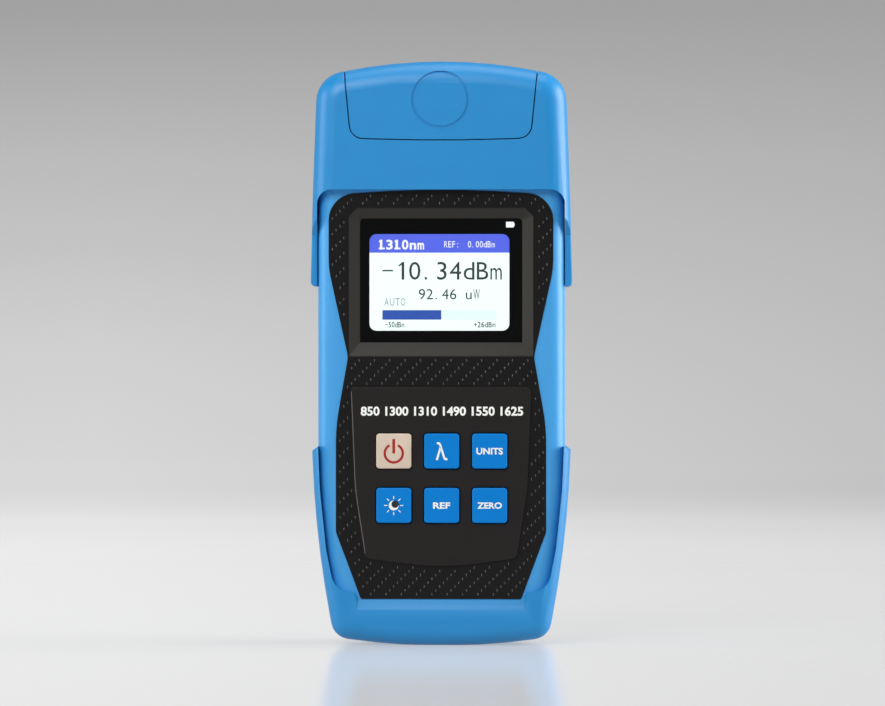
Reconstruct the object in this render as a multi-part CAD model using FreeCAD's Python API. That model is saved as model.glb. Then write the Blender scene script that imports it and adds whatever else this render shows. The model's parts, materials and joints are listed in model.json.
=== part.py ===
"""Handheld optical power meter, standing on its lower end, front towards -Y.

Millimetres.  Origin under the middle of the lower end, +Z up along the meter,
+X to the right as the display is read.  Each piece is written to
parts/NODE.step.
"""
import FreeCAD, Part
import math
import os

from FreeCAD import Vector

# ---------------------------------------------------------------- driving sizes
HEIGHT = 183.0            # lower end to the crown of the head
BODY_HALF = 38.7          # half width of the moulded case at its waist
CASE_FRONT = -15.8        # face of the case round the black panel
CASE_REAR = 17.2
GUARD_REAR = 19.0
HOOD_FRONT = -19.0        # face of the upper guard
BOOT_FRONT = -17.6        # face of the lower guard
SPLIT_Y = 0.0             # joint between the two case halves
WALL = 2.2
FLAT_SAG = 0.05           # outline arcs are laid as short flats, this far inside the arc
ROUND_STEPS = 6           # flats round a rim
POST_SIDES = 10           # hidden posts, pilots and contacts
BACK = (0, 1, 0)
UP = (0, 0, 1)

HOOD_EDGE_Z = 142.6       # where the upper guard ends above the panel
LEG_END_Z = 112.4         # lower end of its side legs
LEG_INNER = 38.85
LEG_FRONT = 12.5          # the legs wrap the case between -12.5 and +12.5
BOOT_END_Z = 62.6         # upper end of the lower guard
CHIN_TOP_Z = 14.5
CHIN_CREASE_Z = 11.2

PANEL_FRONT = -16.1
PANEL_BACK = -13.9
WELL_TOP_Z = 137.0        # mouth of the display well
WELL_BOTTOM_Z = 90.4
WELL_HALF = 29.0
GLASS_TOP_Z = 133.7       # clear opening at the bottom of the well
GLASS_BOTTOM_Z = 94.8
GLASS_HALF = 25.45
GLASS_LAP = 1.2           # the window laps the well all round
WINDOW_T = 1.2
LCD_T = 1.5
PLATE_T = 0.7             # keypad plate laid on the panel

KEY = 11.0
KEY_R = 1.0
KEY_PITCH_X = 15.0
KEY_PITCH_Z = 17.0
KEY_COLUMN_X = 0.3        # middle column
KEY_UPPER_Z = 60.8
KEY_PROUD = 1.0           # above the keypad plate
KEY_GAP = 0.3
KEY_TRAVEL = 0.6
KEY_NAMES = (("power", "wavelength", "units"), ("light", "reference", "zero"))

BOARD_FRONT = -9.4
BOARD_T = 1.6
BOARD_HALF = 30.0
BOARD_Z = (18.0, 152.0)
CAVITY_FRONT = -12.5
CAVITY_REAR = 15.0
CAVITY_TOP_Z = 156.0

BAY_FLOOR_Z = 160.2       # connector bay under the hinged cover
BAY_HALF = 26.6
BAY_REAR = 8.0
PORT_Y = -3.0
PORT_TOP_Z = 172.0
FERRULE_R = 1.25          # 2.5 mm ferrule
USB_X = 17.0

COVER_T = 2.0
COVER_TOP_T = 2.4
COVER_GAP = 0.35
CORNER_REAR = 6.2          # outside the barrel the cover's skin stops here
HINGE_Y = 13.4
HINGE_Z = 174.8
BARREL_R = 4.4
BARREL_HALF = 29.2
PIN_R = 1.0

DOOR_HALF = 22.0          # battery door in the rear face
DOOR_Z = (30.0, 88.0)
DOOR_T = 2.0
CELL_R = 7.25             # AA cells
CELL_LENGTH = 50.0
CELL_PITCH = 14.8
CELL_Y = 7.6
CELL_BOTTOM_Z = 35.0


# ---------------------------------------------------------------- helpers
def flats(start, crown, end, radius):
    """Points that lay an arc as short flats."""
    arc = Part.Arc(start, crown, end).toShape()
    pitch = math.sqrt(8 * radius * FLAT_SAG)
    return arc.discretize(max(2, math.ceil(arc.Length / pitch)) + 1)


def polygon(points):
    """Corners (x, z) of an outline drawn through (x, z, radius) points, arcs laid as flats."""
    count = len(points)
    spans = []
    for i, (x, z, radius) in enumerate(points):
        here = Vector(x, 0, z)
        before = Vector(points[i - 1][0], 0, points[i - 1][1])
        after = Vector(points[(i + 1) % count][0], 0, points[(i + 1) % count][1])
        back = (before - here).normalize()
        on = (after - here).normalize()
        if radius <= 0:
            spans.append([here])
            continue
        half = back.getAngle(on) / 2
        reach = radius / math.tan(half)
        crown = here + (back + on).normalize() * (radius / math.sin(half) - radius)
        spans.append(flats(here + back * reach, crown, here + on * reach, radius))
    corners = []
    for i, span in enumerate(spans):
        following = spans[(i + 1) % count][0]
        here, there = (Vector(points[k % count][0], 0, points[k % count][1]) for k in (i, i + 1))
        if (following - span[-1]).dot(there - here) < -1e-6:
            raise ValueError(f"corner radii overlap between {points[i]} and {points[(i + 1) % count]}")
        corners += [spot for spot in span if not corners or spot.distanceToPoint(corners[-1]) > 1e-4]
    return [(spot.x, spot.z) for spot in corners]


def ring(corners, y):
    """Closed wire through (x, z) corners in the plane Y=y."""
    spots = [Vector(x, y, z) for x, z in corners]
    return Part.makePolygon(spots + spots[:1])


def slab(points, y0, y1):
    """Prism along Y of an outline drawn in the front view."""
    return Part.Face(ring(polygon(points), y0)).extrude(Vector(0, y1 - y0, 0))


def drawn_in(corners, inset):
    """Outline of (x, z) corners moved inwards, its flats kept parallel."""
    moved = []
    for i, (x, z) in enumerate(corners):
        sides = []
        for (ax, az), (bx, bz) in ((corners[i - 1], (x, z)), ((x, z), corners[(i + 1) % len(corners)])):
            length = math.hypot(bx - ax, bz - az)
            sides.append((-(bz - az) / length, (bx - ax) / length))
        (ax, az), (bx, bz) = sides
        share = inset / (1 + ax * bx + az * bz)
        moved.append((x + (ax + bx) * share, z + (az + bz) * share))
    return moved


def soft_slab(points, y0, y1, front_radius, rear_radius, count=ROUND_STEPS):
    """Prism along Y whose front and rear rims are rounded in small steps."""
    corners = polygon(points)
    steps = [math.pi / 2 * k / count for k in range(count + 1)]
    turns = [(1 - math.sin(a), 1 - math.cos(a)) for a in steps]
    levels = [(front_radius * inset, y0 + front_radius * deep) for inset, deep in turns]
    levels += [(rear_radius * inset, y1 - rear_radius * deep) for inset, deep in reversed(turns)]
    if rear_radius == 0:
        levels = levels[:count + 2]
    rings = [[Vector(x, y, z) for x, z in drawn_in(corners, inset)] for inset, y in levels]
    faces = [Part.Face(Part.makePolygon(r + r[:1])) for r in (rings[0], rings[-1])]
    for lower, upper in zip(rings, rings[1:]):
        for i in range(len(lower)):
            j = (i + 1) % len(lower)
            faces.append(Part.Face(Part.makePolygon([lower[i], lower[j], upper[j], upper[i], lower[i]])))
    shell = Part.makeShell(faces)
    shell.sewShape()
    solid = Part.makeSolid(shell)
    return solid if solid.Volume > 0 else solid.reversed()


def side_slab(points, half_width):
    """Prism along X, from -half_width to +half_width, of (y, z) corners."""
    corners = [Vector(-half_width, y, z) for y, z in points]
    face = Part.Face(Part.makePolygon(corners + corners[:1]))
    return face.extrude(Vector(2 * half_width, 0, 0))


def box(x0, x1, y0, y1, z0, z1):
    return Part.makeBox(x1 - x0, y1 - y0, z1 - z0, Vector(x0, y0, z0))


def cylinder_z(x, y, z0, z1, radius):
    return Part.makeCylinder(radius, z1 - z0, Vector(x, y, z0))


def cylinder_y(x, z, y0, y1, radius):
    return Part.makeCylinder(radius, y1 - y0, Vector(x, y0, z), Vector(0, 1, 0))


def cylinder_x(y, z, half_width, radius):
    return Part.makeCylinder(radius, 2 * half_width, Vector(-half_width, y, z), Vector(1, 0, 0))


def post(foot, way, length, radius):
    """Many-sided prism from its foot along way, for what the case hides."""
    along = Vector(way)
    side = Vector(1, 0, 0)
    other = along.cross(side)
    ring = []
    for i in range(POST_SIDES):
        angle = 2 * math.pi * (i + 0.5) / POST_SIDES
        ring.append(foot + side * (radius * math.cos(angle)) + other * (radius * math.sin(angle)))
    return Part.Face(Part.makePolygon(ring + ring[:1])).extrude(along * length)


def mirrored(right):
    """Whole outline from its right half, listed from the bottom upwards."""
    left = [(-x, z, radius) for x, z, radius in reversed(right) if abs(x) > 1e-9]
    return right + left


def rectangle(x0, x1, z0, z1, radius):
    return [(x0, z0, radius), (x1, z0, radius), (x1, z1, radius), (x0, z1, radius)]


def crown(apex_z, radius, half_span, corner_x, sign):
    """Corner points of a shallow arch: the corner height and the middle vertex."""
    slope = math.asin(half_span / radius)
    vertex_z = apex_z + sign * radius * (1 / math.cos(slope) - 1)
    corner_z = vertex_z - sign * corner_x * math.tan(slope)
    return corner_z, vertex_z


def one_solid(shape):
    """The largest solid of a boolean result, cleaned of needless edges."""
    largest = max(shape.Solids, key=lambda solid: solid.Volume)
    return largest.removeSplitter()


# ---------------------------------------------------------------- outlines
def case_outline(inset=0.0, top_z=None):
    """Front view of the moulded case, or of its cavity when inset.

    Both ends are plainly chamfered, because the guards hide them.
    """
    half = BODY_HALF - inset
    side = 240.0 if inset == 0 else 200.0
    right = [(25.0 - inset / 2, 4.6 + inset, 0.0), (33.4 - inset, 12.0 + inset / 2, 0.0), (half, 38.7, side)]
    if top_z is not None:
        return mirrored(right + [(half - 0.9, top_z, 0.0)])
    right += [(half, 144.7, 680.0), (37.55 - inset, 166.0, 0.0), (28.0 - inset / 2, 177.2 - inset, 0.0)]
    return mirrored(right)


def hood_outline(bottom_z):
    """Front view of the upper guard, wider towards its legs."""
    shoulder_z, crown_z = crown(HEIGHT, 155.0, 31.0, 39.0, 1)
    flare = 41.05 + (LEG_END_Z - bottom_z) * 0.019
    right = [(flare, bottom_z, 0.0), (40.5, 141.0, 2200.0), (39.0, shoulder_z, 9.5), (0.0, crown_z, 155.0)]
    return mirrored(right)


def boot_outline(top_z):
    """Front view of the lower guard, flaring upwards."""
    corner_z, floor_z = crown(-0.3, 210.0, 28.5, 33.7, -1)
    top_x = 39.55 + (top_z - 33.3) * 0.035
    return mirrored([(0.0, floor_z, 210.0), (33.7, corner_z, 6.0), (39.55, 33.3, 330.0), (top_x, top_z, 0.0)])


def cover_outline(grow=0.0):
    """Front view of the hinged cover, running out past the crown."""
    right = [
        (0.0, 157.9 - grow, 600.0),
        (27.97 + grow, 158.85 - grow, 4.0 + grow),
        (31.07 + grow, 190.0, 0.0),
    ]
    return mirrored(right)


def panel_outline():
    """Front view of the black panel: bulged, waisted, then tapered."""
    right = [
        (25.1, CHIN_TOP_Z, 0.6),
        (32.9, 35.4, 3.0),
        (32.9, 68.5, 60.0),
        (29.1, 90.3, 6.0),
        (35.2, 118.0, 24.0),
        (35.2, 140.9, 8.4),
        (0.0, 143.6, 350.0),
    ]
    return mirrored(right)


def keypad_outline():
    """Front view of the keypad plate, sagging at its lower edge."""
    right = [(0.0, 24.0, 90.0), (23.8, 27.3, 2.0), (27.1, 48.8, 60.0), (28.4, 80.8, 1.3)]
    return mirrored(right)


def key_places():
    """Name and centre of each key."""
    for row, names in enumerate(KEY_NAMES):
        for column, name in enumerate(names):
            x = KEY_COLUMN_X + (column - 1) * KEY_PITCH_X
            yield name, x, KEY_UPPER_Z - row * KEY_PITCH_Z


# ---------------------------------------------------------------- case halves
def case_form():
    return soft_slab(case_outline(), CASE_FRONT, CASE_REAR, 5.0, 5.0)


def bay_space():
    """Connector bay, open to the front and to the top."""
    return box(-BAY_HALF, BAY_HALF, -30.0, BAY_REAR, BAY_FLOOR_Z, HEIGHT + 20)


def barrel_space():
    """Slot for the cover's barrel between the cheeks."""
    half = BARREL_HALF + COVER_GAP
    drum = cylinder_x(HINGE_Y, HINGE_Z, half, BARREL_R + 0.4)
    above = box(-half, half, BAY_REAR - 1.0, 30.0, HINGE_Z - 4.8, HEIGHT + 10)
    return drum.fuse(above)


def cover_seat():
    """What the cover and its gap take from the guard and the case."""
    taken = slab(cover_outline(COVER_GAP), -30.0, BAY_REAR + 1.0)
    return taken.cut(cover_inside(0.3))


def port_holes():
    """Ways for the optical adapter and the USB socket through the bay floor."""
    hole = cylinder_z(0.0, PORT_Y, CAVITY_TOP_Z - 2, BAY_FLOOR_Z + 4, 4.5)
    socket = box(USB_X - 4.8, USB_X + 4.8, PORT_Y - 2.0, PORT_Y + 2.0, CAVITY_TOP_Z - 2, BAY_FLOOR_Z + 4)
    return hole.fuse(socket)


def hinge_hole():
    return cylinder_x(HINGE_Y, HINGE_Z, 34.0, PIN_R)


def cavity():
    return slab(case_outline(WALL, CAVITY_TOP_Z), CAVITY_FRONT, CAVITY_REAR)


def front_shell(form):
    shell = form.common(box(-60, 60, -40, SPLIT_Y, -10, 200)).cut(cavity())
    shell = shell.cut(slab(panel_outline(), -30.0, PANEL_BACK))
    lap = GLASS_LAP + 0.3
    glass = rectangle(-GLASS_HALF - lap, GLASS_HALF + lap, GLASS_BOTTOM_Z - lap, GLASS_TOP_Z + lap, 1.0)
    shell = shell.cut(slab(glass, -30.0, CAVITY_FRONT + 1))
    key_window = rectangle(KEY_COLUMN_X - 22.5, KEY_COLUMN_X + 22.5, 36.3, 68.3, 2.0)
    shell = shell.cut(slab(key_window, -30.0, CAVITY_FRONT + 1))
    for x, z in screw_places():
        foot = Vector(x, CAVITY_FRONT - 0.5, z)
        shell = shell.fuse(post(foot, BACK, BOARD_FRONT - foot.y, 2.2))
        shell = shell.cut(post(foot + Vector(0, 0.7, 0), BACK, 4.0, 1.1))
    shell = shell.cut(bay_space()).cut(cover_seat()).cut(barrel_space())
    return shell.cut(port_holes()).cut(hinge_hole())


def screw_places():
    return [(x, z) for x in (-27.4, 27.4) for z in (24.0, 138.5)]


def rear_shell(form):
    shell = form.common(box(-60, 60, SPLIT_Y, 40, -10, 200)).cut(cavity())
    gap = 0.25
    window = rectangle(-DOOR_HALF - gap, DOOR_HALF + gap, DOOR_Z[0] - gap, DOOR_Z[1] + gap, 2.0)
    shell = shell.cut(slab(window, CAVITY_REAR - 1, 30.0))
    for x, z in screw_places():
        foot = Vector(x, BOARD_FRONT + BOARD_T, z)
        shell = shell.fuse(post(foot, BACK, CAVITY_REAR + 0.5 - foot.y, 3.5))
    for x, z in screw_places():
        shell = shell.cut(post(Vector(x, BOARD_FRONT, z), BACK, 30.0, 1.4))
        shell = shell.cut(cylinder_y(x, z, CASE_REAR - 3.0, 30.0, 2.6))
    shell = shell.cut(bay_space()).cut(cover_seat()).cut(barrel_space())
    return shell.cut(port_holes()).cut(hinge_hole())


# ---------------------------------------------------------------- end guards
def hood_form():
    """Whole outer form of the head, before the case and cover are taken out."""
    return soft_slab(hood_outline(LEG_END_Z - 12), HOOD_FRONT, GUARD_REAR, 7.0, 7.0)


def hood_opening():
    """Window of the upper guard: square-shouldered over the panel, open below."""
    right = [(LEG_INNER, 60.0, 0.0), (LEG_INNER, HOOD_EDGE_Z, 4.5)]
    return slab(mirrored(right), -40.0, 40.0)


def leg_relief(side):
    """Slanted relief that sets the legs back from the guard's face."""
    face = side * LEG_FRONT
    brow = side * 19.3
    far = side * 40.0
    points = [(far, 137.6), (brow, 137.6), (face, 128.5), (face, 60.0), (far, 60.0)]
    return side_slab(points, 60.0)


def upper_guard(form, case):
    guard = form.cut(case).cut(hood_opening())
    guard = guard.cut(leg_relief(-1)).cut(leg_relief(1))
    legs = mirrored([(41.3, LEG_END_Z, 1.9), (41.3, 230.0, 0.0)])
    guard = guard.common(slab(legs, -40.0, 40.0))
    guard = guard.cut(cover_seat()).cut(bay_space()).cut(barrel_space())
    return guard.cut(hinge_hole())


def boot_opening():
    """Window of the lower guard, drawn in towards the panel's lower corners."""
    right = [(26.0, 16.3, 0.0), (33.4, 16.9, 6.5), (36.0, 30.0, 20.0), (38.0, 49.0, 100.0), (39.0, 75.0, 0.0)]
    return slab(mirrored(right), -40.0, 40.0)


def chin_ramp():
    """Sloped band from the panel's lower edge down to the crease of the chin."""
    slope = [(BOOT_FRONT, CHIN_CREASE_Z), (CASE_FRONT, CHIN_TOP_Z)]
    return side_slab([(-30.0, CHIN_CREASE_Z)] + slope + [(CASE_FRONT, 19.0), (-30.0, 19.0)], 26.2)


def lower_guard(case):
    guard = soft_slab(boot_outline(BOOT_END_Z + 8), BOOT_FRONT, GUARD_REAR, 5.0, 5.5)
    guard = guard.cut(case).cut(boot_opening()).cut(chin_ramp())
    guard = guard.cut(slab(panel_outline(), -30.0, PANEL_BACK))
    trim = mirrored([(60.0, 0.0, 0.0), (60.0, 60.9, 0.0), (40.4, 60.9, 0.0), (38.0, BOOT_END_Z, 0.0)])
    return guard.common(slab(trim, -40.0, 40.0))


# ---------------------------------------------------------------- cover
def cover_inside(gap=0.0):
    """Form under the cover's skin; a gap shrinks it clear of the cover."""
    shoulder_z, crown_z = crown(HEIGHT - COVER_TOP_T - gap, 152.6, 31.0, 39.0, 1)
    points = mirrored([(39.0, 100.0, 0.0), (39.0, shoulder_z, 0.0), (0.0, crown_z, 152.6)])
    return soft_slab(points, HOOD_FRONT + COVER_T + gap, 40.0, 5.0 - gap, 0.0)


def port_cover(form):
    skin = form.common(slab(cover_outline(), -30.0, BAY_REAR + 1.0 - COVER_GAP)).cut(cover_inside())
    for x in (-40.0, BARREL_HALF):  # the rear corners swing clear of the guard's crown
        skin = skin.cut(box(x, x + 40.0 - BARREL_HALF, CORNER_REAR, 30.0, BAY_FLOOR_Z, HEIGHT))
    barrel = cylinder_x(HINGE_Y, HINGE_Z, BARREL_HALF, BARREL_R)
    web = box(-BARREL_HALF, BARREL_HALF, BAY_REAR, HINGE_Y, HINGE_Z, HEIGHT).common(form)
    cover = skin.fuse(barrel).fuse(web).cut(cover_bevel())
    behind, above = HOOD_FRONT + COVER_T, BAY_FLOOR_Z + 0.6
    catch = box(-6.0, 6.0, behind, behind + 1.2, above, above + 1.4)
    return cover.fuse(catch).cut(cylinder_x(HINGE_Y, HINGE_Z, 40.0, PIN_R + 0.06))


def cover_bevel():
    """Takes the crown down to a flat that runs out tangent to the barrel."""
    start = (3.0, HEIGHT + 0.1)
    dy, dz = HINGE_Y - start[0], HINGE_Z - start[1]
    lean = math.atan2(dz, dy) + math.asin(BARREL_R / math.hypot(dy, dz))
    touch = (HINGE_Y - BARREL_R * math.sin(lean), HINGE_Z + BARREL_R * math.cos(lean))
    return side_slab([start, touch, (30.0, touch[1]), (30.0, 200.0), (start[0], 200.0)], 60.0)


def cover_pin():
    return cylinder_x(HINGE_Y, HINGE_Z, 33.5, PIN_R)


# ---------------------------------------------------------------- connector bay
def port_plate():
    half, front = BAY_HALF - 0.2, HOOD_FRONT + COVER_T + 1.6
    return box(-half, half, front, BAY_REAR - 0.2, BAY_FLOOR_Z, BAY_FLOOR_Z + 1.5).cut(port_holes())


def optical_adapter():
    """Flanged adapter with a barrel for a screw-on connector."""
    base_z = BAY_FLOOR_Z + 1.5
    adapter = cylinder_z(0.0, PORT_Y, base_z, base_z + 1.6, 6.5)
    adapter = adapter.fuse(cylinder_z(0.0, PORT_Y, base_z, PORT_TOP_Z, 4.0))
    adapter = adapter.fuse(cylinder_z(0.0, PORT_Y, 150.0, base_z, 4.0))
    adapter = adapter.cut(cylinder_z(0.0, PORT_Y, base_z + 1.6, PORT_TOP_Z + 1, 2.9))
    adapter = adapter.cut(cylinder_z(0.0, PORT_Y, 149.0, PORT_TOP_Z, 1.0))
    keyway = box(-1.1, 1.1, PORT_Y - 6.0, PORT_Y - 2.0, PORT_TOP_Z - 4.5, PORT_TOP_Z + 1)
    return adapter.cut(keyway)


def adapter_sleeve():
    base_z = BAY_FLOOR_Z + 3.1
    sleeve = cylinder_z(0.0, PORT_Y, base_z, PORT_TOP_Z - 1.0, 1.9)
    return sleeve.cut(cylinder_z(0.0, PORT_Y, base_z - 1, PORT_TOP_Z, FERRULE_R))


def adapter_nut():
    corners = [(7.0 * math.cos(a), PORT_Y + 7.0 * math.sin(a)) for a in (i * math.pi / 3 for i in range(7))]
    face = Part.Face(Part.makePolygon([Vector(x, y, CAVITY_TOP_Z - 2.5) for x, y in corners]))
    return face.extrude(Vector(0, 0, 2.5)).cut(cylinder_z(0.0, PORT_Y, 150.0, 160.0, 4.05))


def detector():
    return cylinder_z(0.0, PORT_Y, 144.7, 150.0, 4.2)


def usb_socket():
    top = BAY_FLOOR_Z + 1.5
    socket = box(USB_X - 4.5, USB_X + 4.5, PORT_Y - 1.6, PORT_Y + 1.6, top - 7.3, top)
    tongue = box(USB_X - 3.4, USB_X + 3.4, PORT_Y - 0.3, PORT_Y + 0.3, top - 6.5, top - 0.7)
    hollow = box(USB_X - 4.2, USB_X + 4.2, PORT_Y - 1.3, PORT_Y + 1.3, top - 6.5, top + 1)
    return socket.cut(hollow).fuse(tongue)


# ---------------------------------------------------------------- front
def display_well():
    """Sloping walls from the mouth of the well down to the window."""
    mouth = [
        (-WELL_HALF, WELL_BOTTOM_Z),
        (WELL_HALF, WELL_BOTTOM_Z),
        (WELL_HALF, WELL_TOP_Z - 2.6),
        (WELL_HALF - 2.6, WELL_TOP_Z),
        (2.6 - WELL_HALF, WELL_TOP_Z),
        (-WELL_HALF, WELL_TOP_Z - 2.6),
    ]
    foot = [
        (-GLASS_HALF, GLASS_BOTTOM_Z),
        (GLASS_HALF, GLASS_BOTTOM_Z),
        (GLASS_HALF, GLASS_TOP_Z - 0.8),
        (GLASS_HALF - 0.8, GLASS_TOP_Z),
        (0.8 - GLASS_HALF, GLASS_TOP_Z),
        (-GLASS_HALF, GLASS_TOP_Z - 0.8),
    ]
    wires = []
    for corners, y in ((mouth, PANEL_FRONT), (foot, PANEL_BACK)):
        ring = [Vector(x, y, z) for x, z in corners]
        wires.append(Part.makePolygon(ring + ring[:1]))
    return Part.makeLoft(wires, True, True)


def key_holes(y0, y1):
    holes = []
    for _, x, z in key_places():
        reach = KEY / 2 + KEY_GAP
        holes.append(slab(rectangle(x - reach, x + reach, z - reach, z + reach, KEY_R + KEY_GAP), y0, y1))
    return Part.makeCompound(holes)


def front_panel():
    panel = slab(panel_outline(), PANEL_FRONT, PANEL_BACK)
    return panel.cut(display_well()).cut(key_holes(-30.0, 0.0))


def keypad_plate():
    plate = slab(keypad_outline(), PANEL_FRONT - PLATE_T, PANEL_FRONT)
    return plate.cut(key_holes(-30.0, 0.0))


def display_window():
    lap = GLASS_LAP
    outline = rectangle(-GLASS_HALF - lap, GLASS_HALF + lap, GLASS_BOTTOM_Z - lap, GLASS_TOP_Z + lap, 1.0)
    return slab(outline, PANEL_BACK, PANEL_BACK + WINDOW_T)


def lcd_panel():
    front = PANEL_BACK + WINDOW_T
    return box(-26.6, 26.6, front, front + LCD_T, 93.6, 134.9)


def backlight():
    front = PANEL_BACK + WINDOW_T + LCD_T
    return box(-27.6, 27.6, front, BOARD_FRONT, 91.4, 136.2)


def key(x, z):
    """Key cap with a retaining flange behind the panel."""
    cap_front = PANEL_FRONT - PLATE_T - KEY_PROUD
    flange_front = PANEL_BACK + 0.1
    half = KEY / 2
    face = rectangle(x - half, x + half, z - half, z + half, KEY_R)
    cap = soft_slab(face, cap_front, flange_front + 0.1, 0.4, 0.0, 2)
    half += 0.9
    flange = slab(rectangle(x - half, x + half, z - half, z + half, KEY_R), flange_front, flange_front + 0.8)
    return cap.fuse(flange)


def switch(x, z):
    """Tactile switch under a key."""
    rest_gap = 0.2
    tip = PANEL_BACK + 0.9 + KEY_TRAVEL + rest_gap
    body = box(x - 3.0, x + 3.0, tip + 0.6, BOARD_FRONT, z - 3.0, z + 3.0)
    return body.fuse(post(Vector(x, tip, z), BACK, 0.7, 1.7))


def main_board():
    outline = rectangle(-BOARD_HALF, BOARD_HALF, BOARD_Z[0], BOARD_Z[1], 2.0)
    board = slab(outline, BOARD_FRONT, BOARD_FRONT + BOARD_T)
    for x, z in screw_places():
        board = board.cut(post(Vector(x, -20.0, z), BACK, 20.0, 1.5))
    return board


# ---------------------------------------------------------------- battery bay
def battery_tray():
    x, y0, z0, z1 = DOOR_HALF + 1.6, CELL_Y - CELL_R - 1.6, 31.5, 88.6
    tray = box(-x, x, y0, CAVITY_REAR - 0.1, z0, z1)
    inside = box(-DOOR_HALF - 0.2, DOOR_HALF + 0.2, y0 + 1.4, 20.0, z0 + 1.4, z1 - 1.4)
    return tray.cut(inside)


def battery_door():
    """Door that tilts out on two tabs at its lower end."""
    outline = rectangle(-DOOR_HALF, DOOR_HALF, DOOR_Z[0], DOOR_Z[1], 1.8)
    door = slab(outline, CASE_REAR - DOOR_T, CASE_REAR)
    grip = box(-9.0, 9.0, CASE_REAR - 0.8, 30.0, DOOR_Z[1] - 7.0, DOOR_Z[1] - 3.5)
    return door.cut(grip)


def cell_places():
    return [(f"cell_{i + 1}", (i - 1) * CELL_PITCH, 1 if i % 2 else -1) for i in range(3)]


def cell(x, way):
    """AA cell with its raised positive terminal, up or down the meter."""
    top = CELL_BOTTOM_Z + CELL_LENGTH
    can_z0, can_z1 = (CELL_BOTTOM_Z, top - 1.2) if way > 0 else (CELL_BOTTOM_Z + 1.2, top)
    can = cylinder_z(x, CELL_Y, can_z0, can_z1, CELL_R)
    nub = post(Vector(x, CELL_Y, CELL_BOTTOM_Z), UP, CELL_LENGTH, 2.7)
    return can.fuse(nub)


def contact(x, at_top, sprung):
    """Contact plate in the tray wall, with a stepped spring on the negative side."""
    wall_z = 87.2 if at_top else 32.9
    step = -0.4 if at_top else 0.4
    low, high = sorted((wall_z, wall_z + step))
    plate = box(x - 5.0, x + 5.0, CELL_Y - 5.0, CELL_Y + 5.0, low, high)
    foot = Vector(x, CELL_Y, wall_z + step)
    reach = (CELL_BOTTOM_Z + CELL_LENGTH if at_top else CELL_BOTTOM_Z) - foot.z
    plate = plate.fuse(post(foot, UP, reach, 2.4))
    if sprung:
        plate = plate.fuse(post(foot, UP, reach / 2, 4.0))
    return plate


# ---------------------------------------------------------------- export
def build():
    case = case_form()
    hood = hood_form()
    nodes = {
        "front_shell": front_shell(case),
        "rear_shell": rear_shell(case),
        "upper_guard": upper_guard(hood, case),
        "lower_guard": lower_guard(case),
        "front_panel": front_panel(),
        "keypad_plate": keypad_plate(),
        "display_window": display_window(),
        "lcd_panel": lcd_panel(),
        "backlight": backlight(),
        "main_board": main_board(),
        "port_cover": port_cover(hood),
        "cover_pin": cover_pin(),
        "port_plate": port_plate(),
        "optical_adapter": optical_adapter(),
        "adapter_sleeve": adapter_sleeve(),
        "adapter_nut": adapter_nut(),
        "detector": detector(),
        "usb_socket": usb_socket(),
        "battery_tray": battery_tray(),
        "battery_door": battery_door(),
    }
    for name, x, z in key_places():
        nodes[f"key_{name}"] = key(x, z)
        nodes[f"switch_{name}"] = switch(x, z)
    for name, x, way in cell_places():
        nodes[name] = cell(x, way)
        nodes[f"{name}_plus"] = contact(x, way > 0, False)
        nodes[f"{name}_minus"] = contact(x, way < 0, True)
    return nodes


def main():
    os.makedirs("parts", exist_ok=True)
    for name, shape in build().items():
        solid = one_solid(shape)
        extent = solid.optimalBoundingBox()
        size = " x ".join(f"{side:.2f}" for side in (extent.XLength, extent.YLength, extent.ZLength))
        print(f"{name:18s} valid {solid.isValid()} pieces {len(shape.Solids)} size {size}")
        solid.exportStep(f"parts/{name}.step")


main()
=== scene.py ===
"""Looks of a handheld optical power meter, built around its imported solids.

Lengths are in metres, in the frame of the solids, where a name or a comment doesn't say mm:
+X to the right as the display is read, -Y out of the display, +Z up the meter.
"""

import json
import logging
import math
from dataclasses import dataclass, field
from enum import Enum

import bmesh
import bpy
from mathutils import Matrix, Vector
from mathutils.bvhtree import BVHTree

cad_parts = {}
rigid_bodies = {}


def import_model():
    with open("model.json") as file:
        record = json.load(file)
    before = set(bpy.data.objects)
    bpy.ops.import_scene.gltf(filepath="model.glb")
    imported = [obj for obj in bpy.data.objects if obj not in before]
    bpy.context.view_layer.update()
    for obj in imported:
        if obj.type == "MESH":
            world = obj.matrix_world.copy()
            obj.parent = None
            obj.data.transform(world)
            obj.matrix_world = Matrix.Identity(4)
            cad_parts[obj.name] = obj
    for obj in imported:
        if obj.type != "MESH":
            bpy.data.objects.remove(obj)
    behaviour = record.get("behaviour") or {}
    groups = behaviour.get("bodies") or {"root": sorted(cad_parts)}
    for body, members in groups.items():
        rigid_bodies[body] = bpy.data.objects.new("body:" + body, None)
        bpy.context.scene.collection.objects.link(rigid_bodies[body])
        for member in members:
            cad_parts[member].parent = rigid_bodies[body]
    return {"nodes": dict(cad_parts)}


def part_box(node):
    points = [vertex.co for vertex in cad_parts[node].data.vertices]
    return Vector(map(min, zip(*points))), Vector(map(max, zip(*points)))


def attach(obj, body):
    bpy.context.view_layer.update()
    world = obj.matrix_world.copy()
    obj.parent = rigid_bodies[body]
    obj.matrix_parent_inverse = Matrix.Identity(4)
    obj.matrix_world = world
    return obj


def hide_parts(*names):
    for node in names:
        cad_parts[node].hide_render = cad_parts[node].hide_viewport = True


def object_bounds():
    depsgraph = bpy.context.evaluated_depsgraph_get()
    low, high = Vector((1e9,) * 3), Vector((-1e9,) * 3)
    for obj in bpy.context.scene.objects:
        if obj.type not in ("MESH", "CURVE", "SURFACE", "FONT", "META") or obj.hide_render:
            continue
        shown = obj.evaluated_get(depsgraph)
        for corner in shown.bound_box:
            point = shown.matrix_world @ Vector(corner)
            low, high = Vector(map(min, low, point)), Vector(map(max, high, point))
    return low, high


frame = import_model()
SOLID_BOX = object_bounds()

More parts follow.
